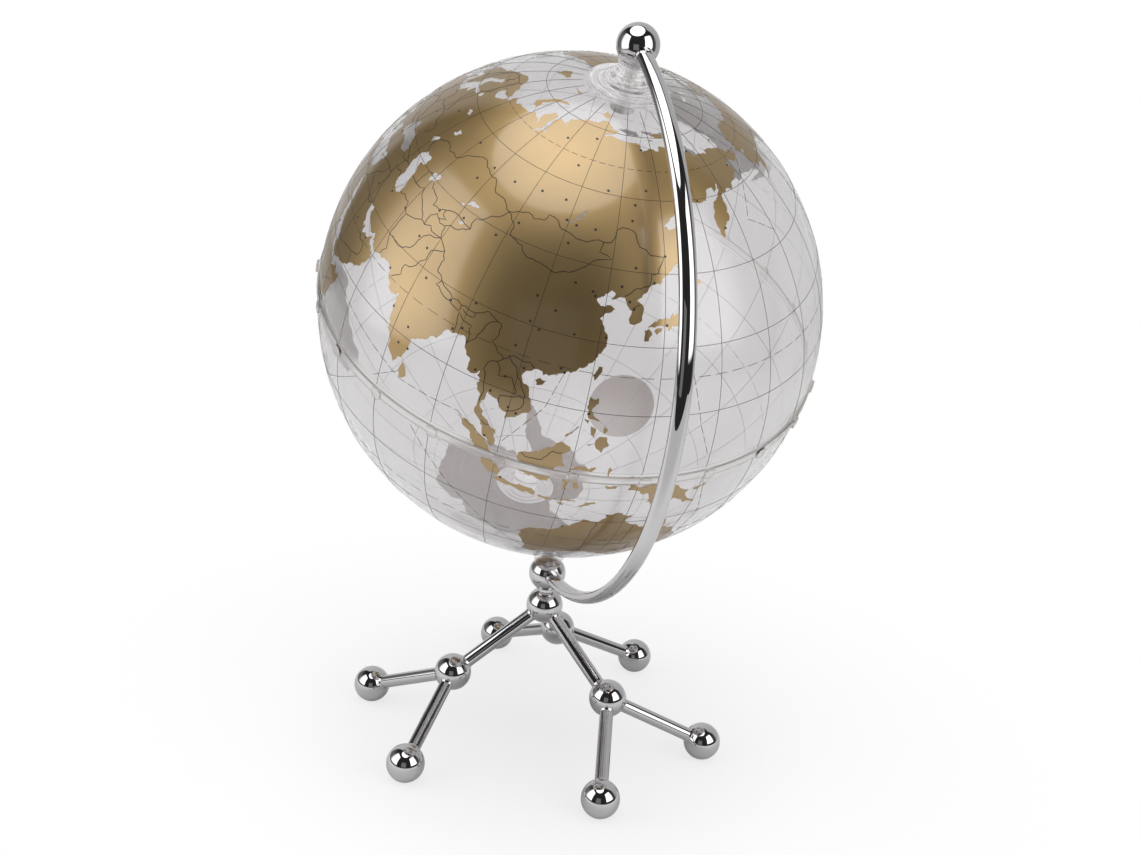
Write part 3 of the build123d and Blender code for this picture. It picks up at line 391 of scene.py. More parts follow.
BORDERS = place_lists("""
    49 46.4, 47 48.2, 47 50, 51.5 51.6, 55 50.8, 59 51, 61.5 53, 65 54.4, 69 55.2, 71 54.2, 73.5 53.6,
    77 53.4, 80 51, 83.5 50.9, 87.3 49.1, 89.6 50, 92.5 50.8, 95 50, 98 50.6, 98.6 52, 102.2 51.4,
    103.6 50.2, 107 49.8, 110.5 49.2, 113.5 49.8, 116.7 49.9, 119 50.2, 120 52.8, 123.6 53.5, 126 52.6,
    127.5 50, 130.6 48.6, 134.6 48.3, 133 45.2, 131 44.8, 130.6 42.4;
    87.3 49.1, 91 46.8, 91 45.2, 95.4 44.2, 97 42.8, 101.8 42.4, 105 41.6, 109.5 42.4, 112 43.8,
    113.8 44.8, 116 46.2, 119.8 46.8, 116 47.8, 116.7 49.9;
    87.3 49.1, 85.6 47.2, 82.4 45.4, 80.2 44.6, 80.4 42.2, 76.6 40.4, 73.8 39.8, 74 38.4, 74.8 37.2,
    77.8 35.5, 79 34, 78.8 32.6, 79 31.2, 81.2 30.1, 85.5 28.2, 88.2 27.9, 91.8 27.8, 94.5 29.3,
    97.3 28.2, 98.6 27.6, 98.6 25.8, 97.6 24, 99.5 22.2, 101.2 21.4, 102.2 22.4, 104 22.6, 106.8 22.6,
    108 21.6;
    81.2 30.1, 80.2 28.8, 84 27.4, 88.1 26.5, 88.2 27.9;
    89 27.3, 89.8 26.8, 92 26.9, 91.8 27.8;
    97.3 28.2, 95.2 26.6, 94.2 23.9, 93.2 22.2, 92.4 20.8;
    92.4 21.4, 92.2 23.6, 92.2 25, 89.8 25.3, 88.4 26.3, 88.8 24.2, 88.9 22;
    77.8 35.5, 74.5 33.9, 74.6 31.6, 73 29.2, 70.2 27.8, 70.6 25.6, 68.4 23.8;
    74.8 37.2, 71.6 36.2, 69.6 33.6, 69.2 31.8, 66.4 29.9, 61 29.8, 62.8 27.2, 61.6 25.2;
    61 29.8, 60.8 33.2, 61.2 35.6, 59 37.6, 56 38, 53.9 37.4;
    61.2 35.6, 64.6 36.4, 66.6 37.4, 68.2 37, 70.2 37.8, 71.4 37, 74.8 37.2;
    66.6 37.4, 62.4 40.2, 60 42.2, 57 41.4, 56 41.3, 52.9 41.6;
    56 41.3, 56 45, 58.4 45.4;
    61 44.4, 62 43.4, 66 42.8, 66.4 41.2, 69 41.4, 70.9 42.2, 73.5 43, 80.2 42.2;
    70.9 42.2, 71 41.2, 73 40.8, 70.6 40, 69.4 40.6, 68 39.4, 68.2 37;
    70.6 40, 71.8 39.4, 73.8 39.6;
    48.4 30.2, 46 33, 45.6 35.4, 44.6 37.2, 44.4 39.6, 46 38.9, 48 39.6, 48.9 38.5;
    44.6 37.2, 42.3 37.2, 38.5 36.8, 36.2 36;
    42.3 37.2, 41.2 34.6, 38.9 33.2, 37.2 31.4, 35 29.4;
    39.2 32, 42 31.1, 44.8 29.2, 46.6 29.1, 47.8 30;
    51.6 24.2, 52.6 22.9, 55.2 22.7, 55 20, 52 19, 52.8 16.6;
    52 19, 48.2 18.2, 46.4 17.2, 43.4 17.3, 42.8 16.4;
    40 43.4, 43 42.8, 46.6 41.8, 48.4 41.8;
    41.5 41.5, 43.4 41.1, 45 41.2, 46.6 41.8;
    38.2 47.2, 40 49.6, 36 50.4, 34 52.2, 31.6 52.2, 32.6 53.4, 31 54.8, 28.2 56.2, 27.4 57.6, 28 59.4;
    28 60.6, 31.4 62.8, 29.8 64.8, 29.6 67, 28.6 69, 31 69.8;
    31.6 52.2, 27 51.6, 23.6 51.6, 23.6 53.9, 22.8 54.4, 20 54.4;
    23.6 51.6, 22.6 49.2, 18.8 49.6, 14.8 51, 14.4 53.8;
    22.6 49.2, 24.8 47.8, 28.2 45.4, 29.6 45.2;
    22.8 44.2, 25.4 43.7, 28.4 43.8;
    18.8 49.6, 17 48.2, 13.6 46.5, 10.4 46.8, 7 45.9, 7.5 43.8;
    10.4 46.8, 7.6 47.6, 8 49, 6.2 49.5, 2.6 51;
    -1.8 43.4, 0.6 42.7, 3.1 42.5;
    -8.8 41.9, -6.4 41.4, -7.4 37.2;
    11.4 59, 12.2 61.6, 14 64.4, 16 67.6, 20.4 69, 24 67.8, 24.2 65.9;
    20.4 69, 25.8 69.2, 28.6 69;
    101.2 21.4, 100.1 20.4, 98.2 19.4, 97.8 17.8, 98.6 16, 99.2 13, 98.8 10.4;
    102.2 22.4, 104.4 20.6, 105.2 18.6, 107.4 15.6, 107.5 14.6, 107.4 12.4, 105.8 11, 104.5 10.5;
    100.1 20.4, 101.2 17.6, 104 18.2, 105.6 15.6, 105.4 14.2, 107.5 14.6;
    105.4 14.2, 102.6 13.6, 102.8 11.8;
    100.2 6.5, 101.2 5.8, 102 6.2;
    109.6 2, 110.6 1.1, 114 1.4, 115.8 4.2, 117.6 4.2;
    126.8 37.8, 128.4 38.6;
    124.4 40, 126.8 41.6, 128.2 41.8, 130.6 42.4;
    141 -2.8, 141 -9;
    129 -15, 129 -31.6;
    129 -26, 138 -26, 141 -26, 141 -29, 149 -29, 153.2 -28.4;
    138 -16.6, 138 -26;
    141 -29, 141 -37.8;
    141 -34, 147.5 -36, 149.8 -37.4;
    25 31.6, 25 20, 36.8 22;
    11.4 33, 10 30.2, 12 23.6, 15 23, 24 19.6;
    -8.6 27.6, -4.8 25, 3.2 19.2, 5.8 19.4, 12 23.6;
    24 19.6, 22 12.6, 27.4 5.2, 34 4.2, 34.6 10.8, 36.4 14.4, 38.6 18;
    34 4.2, 41.8 3.9, 47.8 8;
    29.6 -1.4, 30.6 3.4;
    30.8 -8.3, 29 -13.2, 33 -14, 25.2 -17.8, 29.4 -22.2, 31.2 -22.4, 32 -26.8;
    12.4 -6, 17.6 -8, 22 -11, 24 -13, 21.8 -16.2, 12.2 -17.2;
    20 -18, 20 -28.4, 16.6 -28.6;
    -123 49, -95 49, -92 48.2, -89.6 48;
    -82.6 42.4, -79 43.4, -75 45, -71 45.2, -67.8 47, -67.2 45.2;
    -141 69.6, -141 60.4, -135.4 59.6, -130.2 55.4;
    -117 32.6, -111 31.3, -106.4 31.8, -102.6 29.6, -99.4 27, -97.4 25.9;
    -92.2 14.6, -91.4 17.2, -89.2 17.8, -88.4 18.4;
    -60 5, -64 3.8, -67 1.4, -69.8 -1.4, -70 -4.2, -73 -7.4, -70.6 -11, -65.4 -10.4, -60.2 -14, -58 -20,
    -54.4 -24.4, -54.6 -25.6, -57.6 -30.2, -53.4 -33.6;
    -69.4 -17.6, -68.4 -24, -70 -31, -71.4 -40, -72.4 -48, -68.6 -52.3;
    -70.6 -11, -69.4 -17.6, -70.2 -18.4;
    -58 -20, -62.4 -22.2, -66.2 -21.8, -68.4 -22.8;
    -70 -4.2, -75.2 -1.2, -77.6 1.2;
    -67 1.4, -67.6 6.2, -72.2 7.4, -72.2 11.2
""")
SEA_ROUTES = place_lists("""
    114.2 22.2, 112 14, 105 2.6;
    103.6 1.2, 95 6.2, 80.6 5.6, 60 10.6, 44.8 12.2;
    141 30, 146 12, 150 2;
    150 -2, 154 -16, 152 -33;
    115.6 -32, 100 -18, 84 -2;
    79.6 7, 62 -8, 42 -22, 32 -29.6;
    180 78, 180 75, 191 66, 170 53, 180 48, 180 5;
    180 -5, 187.5 -15, 187.5 -44, 180 -51, 180 -70
""")
CITIES = places("""
    116.4 39.9, 121.5 31.2, 114.2 22.4, 108.9 34.3, 104.1 30.7, 106.5 29.6, 114.3 30.6, 103.8 36.1,
    87.6 43.8, 91.1 29.7, 126.6 45.8, 123.4 41.8, 117.2 39.1, 102.7 25, 113.3 23.1, 111.7 40.8,
    106.9 47.9, 91.6 48, 127 37.6, 125.8 39, 139.7 35.7, 135.5 34.7, 141.3 43.1, 77.2 28.6, 72.9 19.1,
    88.4 22.6, 80.3 13.1, 77.6 13, 78.5 17.4, 85.3 27.7, 90.4 23.7, 96.2 16.8, 100.5 13.8, 105.8 21,
    106.7 10.8, 104.9 11.6, 102.6 18, 101.7 3.1, 106.8 -6.2, 121 14.6, 67 24.9, 73.1 33.7, 69.2 34.5,
    51.4 35.7, 59.6 36.3, 69.3 41.3, 76.9 43.2, 71.4 51.2, 44.4 33.3, 46.7 24.6, 54.4 24.4, 37.6 55.8,
    60.6 56.8, 73.4 55, 82.9 55, 92.9 56, 104.3 52.3, 101.6 56.2, 113.5 52, 129.7 62, 135.1 48.5,
    131.9 43.1, 150.8 59.6, 158.6 53, 128.9 71.6, 102.5 72, 88.2 69.3, 114.9 60.7, 125.4 58.6, 124.7 55.2,
    107.6 51.8, 100.2 64.3, 158 71, 177.5 64.7, 130.8 -12.5, 133.9 -23.7, 122.2 -18, 138.6 -34.9,
    151.2 -33.9, 31.2 30, 36.8 -1.3, 28 -26.2, 3.4 6.5, -74 40.7, -99.1 19.4, -87.6 41.9, -118.2 34.1,
    -58.4 -34.6, -46.6 -23.5, -77 -12, -47.9 -15.8, 2.3 48.9, 13.4 52.5, 30.5 50.4, 29 41
""")


def map_direction(longitude, latitude):
    """Unit vector from the globe's middle to a printed place."""
    lift = EQUATOR_LIFT * max(0.0, 1 - abs(latitude) / EQUATOR_LIFT_END)
    north = min(PRINT_SCALE * latitude + lift, NORTH_CAP_LATITUDE)
    return globe_direction(longitude - ARC_LONGITUDE, north)


def globe_direction(east, north):
    """Unit vector to a place on the globe itself, with the longitude counted from the arc."""
    level = cos(radians(east)) * ARC_SIDE + sin(radians(east)) * ARC_LEFT
    return cos(radians(north)) * level + sin(radians(north)) * POLE


def globe_latitude(direction):
    """Latitude of a unit vector on the globe itself, in degrees."""
    return degrees(asin(max(-1.0, min(1.0, direction.dot(POLE)))))


def on_shell(direction, height):
    """Point over the shell in this direction from the globe's middle."""
    return GLOBE_CENTER + direction * (GLOBE_RADIUS + height)


def new_mesh(name, points, faces, materials):
    """Mesh with its materials."""
    mesh = bpy.data.meshes.new(name)
    mesh.from_pydata([tuple(p) for p in points], [], faces)
    for material in materials:
        mesh.materials.append(material)
    return mesh


def new_object(name, data):
    """Object in the scene."""
    made = bpy.data.objects.new(name, data)
    bpy.context.scene.collection.objects.link(made)
    return made


def add_print(name, solid, materials):
    """Printed piece on the globe, with the shell's own roundness; inner faces take the second material."""
    points, faces, inner = solid
    mesh = new_mesh(name, points, faces, materials)
    mesh.polygons.foreach_set("material_index", inner)
    mesh.polygons.foreach_set("use_smooth", [True] * len(faces))
    inward = {i for face, looks_in in zip(faces, inner) if looks_in for i in face}
    normals = [(p - GLOBE_CENTER).normalized() * (-1 if i in inward else 1) for i, p in enumerate(points)]
    mesh.normals_split_custom_set_from_vertices(normals)
    mesh.update()
    piece = new_object(name, mesh)
    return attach(piece, "globe")


class FlatChart:
    """Stereographic chart round one direction, on which coasts are triangulated."""

    def __init__(self, middle):
        self.up = middle.normalized()
        self.across = self.up.orthogonal().normalized()
        self.along = self.up.cross(self.across)

    def flat(self, direction):
        """Point of the chart for a direction."""
        share = 2 / (1 + direction.dot(self.up))
        return Vector((direction.dot(self.across) * share, direction.dot(self.along) * share))

    def round(self, point):
        """Direction for a point of the chart."""
        share = 4 / (4 + point.x**2 + point.y**2)
        return (point.x * self.across + point.y * self.along) * share + self.up * (2 * share - 1)


def rough_coast(corners, dice):
    """Coast between given corners, broken up so that it has small capes and bays."""
    line = list(corners)
    while True:
        finer = []
        for start, end in zip(line, line[1:] + line[:1]):
            finer.append(start)
            run = end - start
            if run.length > COAST_DETAIL:
                push = dice.gauss(0, COAST_ROUGHNESS)
                push = max(-2 * COAST_ROUGHNESS, min(2 * COAST_ROUGHNESS, push))
                finer.append(start + run / 2 + Vector((-run.y, run.x)) * push)
        if len(finer) == len(line):
            return line
        line = finer


def inside_lines(point, lines):
    """True where a flat point lies inside an odd number of the closed lines, given as arrays."""
    crossings = 0
    for line in lines:
        ends = np.roll(line, -1, axis=0)
        spans = (line[:, 1] > point.y) != (ends[:, 1] > point.y)
        rise = np.where(ends[:, 1] == line[:, 1], 1e-12, ends[:, 1] - line[:, 1])
        cut = line[:, 0] + (point.y - line[:, 1]) / rise * (ends[:, 0] - line[:, 0])
        crossings += int(np.count_nonzero(spans & (cut > point.x)))
    return crossings % 2 == 1


def even_directions():
    """Directions spread evenly over the whole globe, about LAND_STEP apart."""
    count = int(4 * pi / radians(LAND_STEP) ** 2)
    golden = pi * (3 - sqrt(5))
    for i in range(count):
        height = 1 - 2 * (i + 0.5) / count
        level = sqrt(1 - height**2)
        yield Vector((cos(golden * i) * level, sin(golden * i) * level, height))


def land_sheet(coasts, dice):
    """Directions and triangles of printed land inside closed coasts, cut at the seam and the south cap."""
    rings = [[map_direction(*place) for place in coast] for coast in coasts]
    chart = FlatChart(sum(rings[0], Vector()))
    lines = [rough_coast([chart.flat(d) for d in ring], dice) for ring in rings]
    arrays = [np.array([(p.x, p.y) for p in line]) for line in lines]
    coast_points = np.concatenate(arrays)
    low = arrays[0].min(axis=0)
    high = arrays[0].max(axis=0)
    flat_points = []
    edges = []
    for line in lines:
        first = len(flat_points)
        flat_points += line
        edges += [(first + i, first + (i + 1) % len(line)) for i in range(len(line))]

    def wanted(direction, margin):
        """Point of the chart for a direction, if that is on land and so far from the coast."""
        if direction.dot(chart.up) < CHART_EDGE:
            return None
        point = chart.flat(direction)
        if not (low[0] < point.x < high[0] and low[1] < point.y < high[1]):
            return None
        if margin and np.min(np.hypot(*(coast_points - (point.x, point.y)).T)) < margin:
            return None
        return point if inside_lines(point, arrays) else None

    for latitude in (BAND_LATITUDE, -BAND_LATITUDE, SOUTH_CAP_LATITUDE):
        ring = [globe_direction(k * LINE_STEP, latitude) for k in range(FULL_CIRCLE)]
        on_land = [wanted(d, 0) is not None for d in ring]
        kept = {}
        for i, direction in enumerate(ring):
            after = (i + 1) % FULL_CIRCLE
            if direction.dot(chart.up) > CHART_EDGE and (on_land[i - 1] or on_land[i] or on_land[after]):
                kept[i] = len(flat_points)
                flat_points.append(chart.flat(direction))
        edges += [(kept[i], kept[(i + 1) % FULL_CIRCLE]) for i in kept if (i + 1) % FULL_CIRCLE in kept]
    inner_points = [wanted(d, radians(LAND_STEP) * LAND_MARGIN) for d in even_directions()]
    flat_points += [point for point in inner_points if point is not None]
    made = delaunay_2d_cdt(flat_points, edges, [], 0, SAME_POINT)
    triangles = []
    for triangle in made[2]:
        middle = sum((made[0][i] for i in triangle), Vector((0, 0))) / 3
        latitude = globe_latitude(chart.round(middle))
        if abs(latitude) < BAND_LATITUDE or latitude < SOUTH_CAP_LATITUDE:
            continue
        if inside_lines(middle, arrays):
            triangles.append(tuple(triangle))
    return [chart.round(p) for p in made[0]], triangles


def ink_solid(directions, triangles, bottom=LAND_BOTTOM, top=LAND_TOP):
    """Closed thin solid over part of the shell: points, faces and which faces look inwards."""
    used = sorted({i for triangle in triangles for i in triangle})
    number = {old: new for new, old in enumerate(used)}
    count = len(used)
    points = [on_shell(directions[i], height) for height in (top, bottom) for i in used]
    faces = []
    rim = {}
    for a, b, c in triangles:
        normal = (directions[b] - directions[a]).cross(directions[c] - directions[a])
        if normal.dot(directions[a]) < 0:
            b, c = c, b
        a, b, c = number[a], number[b], number[c]
        faces += [(a, b, c), (a + count, c + count, b + count)]
        rim.update({(a, b): True, (b, c): True, (c, a): True})
    inner = [0, 1] * len(triangles)
    for a, b in rim:
        if (b, a) not in rim:
            faces.append((a, a + count, b + count, b))
            inner.append(0)
    return points, faces, inner


def line_solid(directions, width, closed=False, bottom=LINE_BOTTOM, top=LINE_TOP):
    """Closed thin solid along a printed line."""
    points = []
    faces = []
    inner = []
    last = len(directions) - 1
    for i, direction in enumerate(directions):
        before = directions[i - 1] if closed or i else directions[i]
        after = directions[(i + 1) % len(directions)] if closed or i < last else directions[i]
        aside = direction.cross(after - before).normalized() * width / 2
        for height, way in ((top, -1), (top, 1), (bottom, 1), (bottom, -1)):
            points.append(on_shell(direction, height) + aside * way)
    for i in range(len(directions) if closed else last):
        here = 4 * i
        there = 4 * ((i + 1) % len(directions))
        for k in range(4):
            m = (k + 1) % 4
            faces.append((here + k, there + k, there + m, here + m))
            inner.append(int(k == 2))
    if not closed:
        faces += [(0, 1, 2, 3), (4 * last + 3, 4 * last + 2, 4 * last + 1, 4 * last)]
        inner += [0, 0]
    return points, faces, inner


def dot_solid(direction):
    """Closed thin disc of ink."""
    across = direction.orthogonal().normalized()
    along = direction.cross(across)
    points = []
    for height in (LINE_TOP, LINE_BOTTOM):
        for i in range(DOT_SIDES):
            turn = 2 * pi * i / DOT_SIDES
            points.append(on_shell(direction, height) + (across * cos(turn) + along * sin(turn)) * DOT_RADIUS)
    faces = [tuple(range(DOT_SIDES)), tuple(range(2 * DOT_SIDES - 1, DOT_SIDES - 1, -1))]
    for i in range(DOT_SIDES):
        after = (i + 1) % DOT_SIDES
        faces.append((i, i + DOT_SIDES, after + DOT_SIDES, after))
    return points, faces, [0, 1] + [0] * DOT_SIDES


def joined(solids):
    """One list of points, faces and inner marks from several solids."""
    points = []
    faces = []
    inner = []
    for more_points, more_faces, more_inner in solids:
        first = len(points)
        points += more_points
        faces += [tuple(first + i for i in face) for face in more_faces]
        inner += more_inner
    return points, faces, inner


def along_places(route, step):
    """Directions along great circles from place to place."""
    corners = [map_direction(*place) for place in route]
    line = [corners[0]]
    for start, end in zip(corners, corners[1:]):
        parts = max(1, ceil(degrees(start.angle(end)) / step))
        line += [start.slerp(end, k / parts) for k in range(1, parts + 1)]
    return line


def clear_runs(line):
    """Parts of a line that keep off the seam band and the caps."""
    runs = [[]]
    for direction in line:
        latitude = globe_latitude(direction)
        in_reach = SOUTH_CAP_LATITUDE < latitude <= NORTH_CAP_LATITUDE + CAP_MARGIN
        if in_reach and abs(latitude) >= BAND_LATITUDE:
            runs[-1].append(direction)
        elif runs[-1]:
            runs.append([])
    return [run for run in runs if len(run) > 1]


def wandering(line, dice):
    """A line bent between its points, the way a border follows rivers and ridges."""
    bent = [line[0]]
    for start, end in zip(line, line[1:]):
        push = dice.uniform(-BORDER_WANDER, BORDER_WANDER)
        bent.append(((start + end) / 2 + start.cross(end - start) * push).normalized())
        bent.append(end)
    return bent


def dashes(line, on, off):
    """Every so many steps of a line kept, then left out."""
    return [line[i : i + on + 1] for i in range(0, len(line) - on, on + off)]


def rose_direction(reach, turn):
    """Direction on the compass rose, from its middle: share of its radius outwards and degrees round."""
    middle = map_direction(*ROSE_PLACE)
    north = (POLE - middle * POLE.dot(middle)).normalized()
    aside = north * cos(radians(turn)) + middle.cross(north) * sin(radians(turn))
    outward = radians(ROSE_RADIUS * reach)
    return middle * cos(outward) + aside * sin(outward)


def rose_disc(rings, sides):
    """Round printed disc of the compass rose."""
    directions = [rose_direction(0, 0)]
    triangles = []
    for k in range(1, rings + 1):
        directions += [rose_direction(k / rings, 360 * i / sides) for i in range(sides)]
    for i in range(sides):
        j = (i + 1) % sides
        triangles.append((0, 1 + i, 1 + j))
        for here in range(1, 1 + (rings - 1) * sides, sides):
            there = here + sides
            triangles += [(here + i, there + i, there + j), (here + i, there + j, here + j)]
    return ink_solid(directions, triangles)


def rose_star():
    """Star, rings and ticks in dark ink on the disc's outside."""
    half = 180 / ROSE_POINTS
    middle = rose_direction(0, 0)
    solids = []
    for i in range(ROSE_POINTS):
        tip = rose_direction(ROSE_SHORT if i % 2 else ROSE_LONG, 2 * half * i)
        waist = rose_direction(ROSE_WAIST, 2 * half * i + half)
        directions = []
        triangles = []
        for k in range(STAR_STEPS):
            directions += [middle.slerp(tip, k / STAR_STEPS), waist.slerp(tip, k / STAR_STEPS)]
            if k:
                triangles += [(2 * k - 2, 2 * k, 2 * k + 1), (2 * k - 2, 2 * k + 1, 2 * k - 1)]
        directions.append(tip)
        triangles.append((2 * STAR_STEPS - 2, 2 * STAR_STEPS, 2 * STAR_STEPS - 1))
        solids.append(ink_solid(directions, triangles, LAND_TOP, STAR_TOP))
    for reach in ROSE_RINGS:
        ring = [rose_direction(reach, turn) for turn in range(0, 360, ROSE_RING_STEP)]
        solids.append(line_solid(ring, GRID_WIDTH, closed=True, bottom=LAND_TOP, top=STAR_TOP))
    for turn in range(0, 360, ROSE_TICK_STEP):
        tick = [rose_direction(reach, turn) for reach in ROSE_TICKS]
        solids.append(line_solid(tick, GRID_WIDTH, bottom=LAND_TOP, top=STAR_TOP))
    return solids


def fill(tree, node, inputs):
    """Sets a node's inputs by name or number, each to a plain value or to a link from another socket."""
    for label, value in inputs.items():
        if isinstance(value, bpy.types.NodeSocket):
            tree.links.new(value, node.inputs[label])
        else:
            node.inputs[label].default_value = value


def new_node(tree, kind, inputs=None, **settings):
    """Outputs of a new shader node of this kind."""
    node = tree.nodes.new("ShaderNode" + kind)
    for label, value in settings.items():
        setattr(node, label, value)
    fill(tree, node, inputs or {})
    return node.outputs


def maths(tree, operation, *values):
    """Result of a calculation with numbers."""
    return new_node(tree, "Math", dict(enumerate(values)), operation=operation)["Value"]


def vector_maths(tree, operation, *values):
    """Outputs of a calculation with vectors, its Vector and its Value."""
    return new_node(tree, "VectorMath", dict(enumerate(values)), operation=operation)


def mapped(tree, value, start, end, low=0.0, high=1.0, kind="LINEAR"):
    """Value carried over from one range to another."""
    inputs = {"Value": value, "From Min": start, "From Max": end, "To Min": low, "To Max": high}
    return new_node(tree, "MapRange", inputs, interpolation_type=kind)["Result"]


def eased(tree, value, start, end, low=0.0, high=1.0):
    """Value carried over from one range to another with soft ends."""
    return mapped(tree, value, start, end, low, high, "SMOOTHSTEP")


def mixed(tree, share, one, other):
    """Number between two others."""
    return new_node(tree, "Mix", {"Factor": share, "A": one, "B": other})["Result"]


def mixed_colour(tree, share, one, other):
    """Colour between two others."""
    return new_node(tree, "Mix", {"Factor": share, 6: one, 7: other}, data_type="RGBA")[2]


def mixed_shader(tree, share, one, other):
    """Shader between two others."""
    return new_node(tree, "MixShader", {"Fac": share, 1: one, 2: other})["Shader"]


def along(tree, place, direction):
    """How far a place lies along a direction."""
    return vector_maths(tree, "DOT_PRODUCT", place, direction)["Value"]


def from_globe(tree):
    """Place of the shaded spot from the globe's middle, which turns with the piece."""
    place = new_node(tree, "TexCoord")["Object"]
    return vector_maths(tree, "SUBTRACT", place, GLOBE_CENTER)["Vector"]


def off_axis(tree, place):
    """How far a place lies from the globe's axis."""
    return vector_maths(tree, "LENGTH", vector_maths(tree, "CROSS_PRODUCT", place, POLE)["Vector"])["Value"]


def noise(tree, scale, detail):
    """Noise in the object's own coordinates, so that it turns with the piece."""
    place = new_node(tree, "TexCoord")["Object"]
    return new_node(tree, "TexNoise", {"Vector": place, "Scale": scale, "Detail": detail})["Fac"]


NUMBER = "NodeSocketFloat"
COLOUR = "NodeSocketColor"
WHITE = (1, 1, 1, 1)


def new_group(name, sockets_in, sockets_out):
    """Shader node group with named sockets: the group, its given values and its output node."""
    group = bpy.data.node_groups.new(name, "ShaderNodeTree")
    for label, kind, default in sockets_in:
        group.interface.new_socket(label, in_out="INPUT", socket_type=kind).default_value = default
    for label, kind in sockets_out:
        group.interface.new_socket(label, in_out="OUTPUT", socket_type=kind)
    return group, group.nodes.new("NodeGroupInput").outputs, group.nodes.new("NodeGroupOutput")


def fine_wear_group():
    """Roughness that drifts between two values, with a fine height for handling marks."""
    group, given, out = new_group(
        "Fine Wear",
        [("Smoothest", NUMBER, 0.03), ("Roughest", NUMBER, 0.08)],
        [("Roughness", NUMBER), ("Height", NUMBER)],
    )
    clouds = noise(group, WEAR_SCALES[0], 5)
    rough = mapped(group, clouds, *NOISE_MIDDLE, given["Smoothest"], given["Roughest"])
    fill(group, out, {"Roughness": rough, "Height": noise(group, WEAR_SCALES[1], 2)})
    return group


def ink_tone_group():
    """Printed colour, a little thicker in some places than in others, and its roughness."""
    group, given, out = new_group(
        "Ink Tone",
        [("Thick", COLOUR, WHITE), ("Thin", COLOUR, WHITE), ("Roughness", NUMBER, 0.3)],
        [("Color", COLOUR), ("Roughness", NUMBER), ("Height", NUMBER)],
    )
    clouds = noise(group, INK_SCALES[0], 3)
    colour = mixed_colour(group, mapped(group, clouds, *NOISE_MIDDLE), given["Thick"], given["Thin"])
    drift = mapped(group, clouds, *NOISE_MIDDLE, *INK_DRIFT)
    rough = maths(group, "MULTIPLY", given["Roughness"], drift)
    fill(group, out, {"Color": colour, "Roughness": rough, "Height": noise(group, INK_SCALES[1], 2)})
    return group


def moulded_rings_group():
    """Shallow rings round the globe's axis, as the stepped caps have them: a mask for their painted shade,
    and a height.
    """
    group, given, out = new_group(
        "Moulded Rings", [("Spacing", NUMBER, 0.003)], [("Mask", NUMBER), ("Height", NUMBER)]
    )
    place = from_globe(group)
    outward = maths(group, "SUBTRACT", off_axis(group, place), along(group, place, POLE * RING_SLOPE))
    turns = maths(group, "DIVIDE", outward, given["Spacing"])
    wave = maths(group, "SINE", maths(group, "MULTIPLY", turns, 2 * pi))
    fill(group, out, {"Mask": mapped(group, wave, *RING_CREST), "Height": wave})
    return group


FINE_WEAR = fine_wear_group()
INK_TONE = ink_tone_group()
MOULDED_RINGS = moulded_rings_group()


def blank_material(name):
    """Material with its shader, and the tree to add to."""
    material = bpy.data.materials.new(name)
    material.use_nodes = True
    return material, material.node_tree, material.node_tree.nodes["Principled BSDF"]


def set_surface(tree, surface):
    """Makes a shader socket the material's surface."""
    fill(tree, tree.nodes["Material Output"], {"Surface": surface})


def bump(tree, height, strength, distance):
    """Normal bent by a height."""
    return new_node(tree, "Bump", {"Height": height, "Strength": strength, "Distance": distance})["Normal"]


def metal(name, colour, smoothest, roughest, marks):
    """Bare metal with fine wear."""
    material, tree, shader = blank_material(name)
    wear = new_node(tree, "Group", {"Smoothest": smoothest, "Roughest": roughest}, node_tree=FINE_WEAR)
    fill(tree, shader, {"Base Color": (*colour, 1), "Metallic": 1.0, "Roughness": wear["Roughness"]})
    fill(tree, shader, {"Normal": bump(tree, wear["Height"], marks, FINE_HEIGHT)})
    return material


def ink(name, thick, thin, roughness, finish, grain=0.05, depth=FINE_HEIGHT):
    """Printed ink or white plastic; finish holds further values for the shader."""
    material, tree, shader = blank_material(name)
    tones = {"Thick": (*thick, 1), "Thin": (*thin, 1), "Roughness": roughness}
    tone = new_node(tree, "Group", tones, node_tree=INK_TONE)
    fill(tree, shader, {"Base Color": tone["Color"], "Roughness": tone["Roughness"], **finish})
    fill(tree, shader, {"Normal": bump(tree, tone["Height"], grain, depth)})
    return material


def clear_plastic(name, tint, ior, clarity, smoothest, roughest):
    """Clear plastic that lets the lamps' light through; what clarity is short of 1 is milky."""
    material, tree, shader = blank_material(name)
    wear = new_node(tree, "Group", {"Smoothest": smoothest, "Roughest": roughest}, node_tree=FINE_WEAR)
    fill(tree, shader, {"Base Color": (*tint, 1), "Transmission Weight": clarity, "IOR": ior})
    fill(tree, shader, {"Roughness": wear["Roughness"], "Coat Weight": 1.0, "Coat Roughness": 0.18})
    through = new_node(tree, "BsdfTransparent", {"Color": (*tint, 1)})["BSDF"]
    in_shadow = new_node(tree, "LightPath")["Is Shadow Ray"]
    set_surface(tree, mixed_shader(tree, in_shadow, shader.outputs["BSDF"], through))
    return material


def ring_steps(material):
    """Paints shade into a clear moulding's colour in rings round the globe's axis, and bends its surface
    there.
    """
    tree = material.node_tree
    shader = tree.nodes["Principled BSDF"]
    rings = new_node(tree, "Group", {"Spacing": RING_SPACING}, node_tree=MOULDED_RINGS)
    plain = shader.inputs["Base Color"].default_value
    # Painted shade: the colour darkens along each ring
    fill(tree, shader, {"Base Color": mixed_colour(tree, rings["Mask"], plain, (*RING_PAINTED_SHADE, 1))})
    fill(tree, shader, {"Normal": bump(tree, rings["Height"], RING_BEND, RING_HEIGHT)})


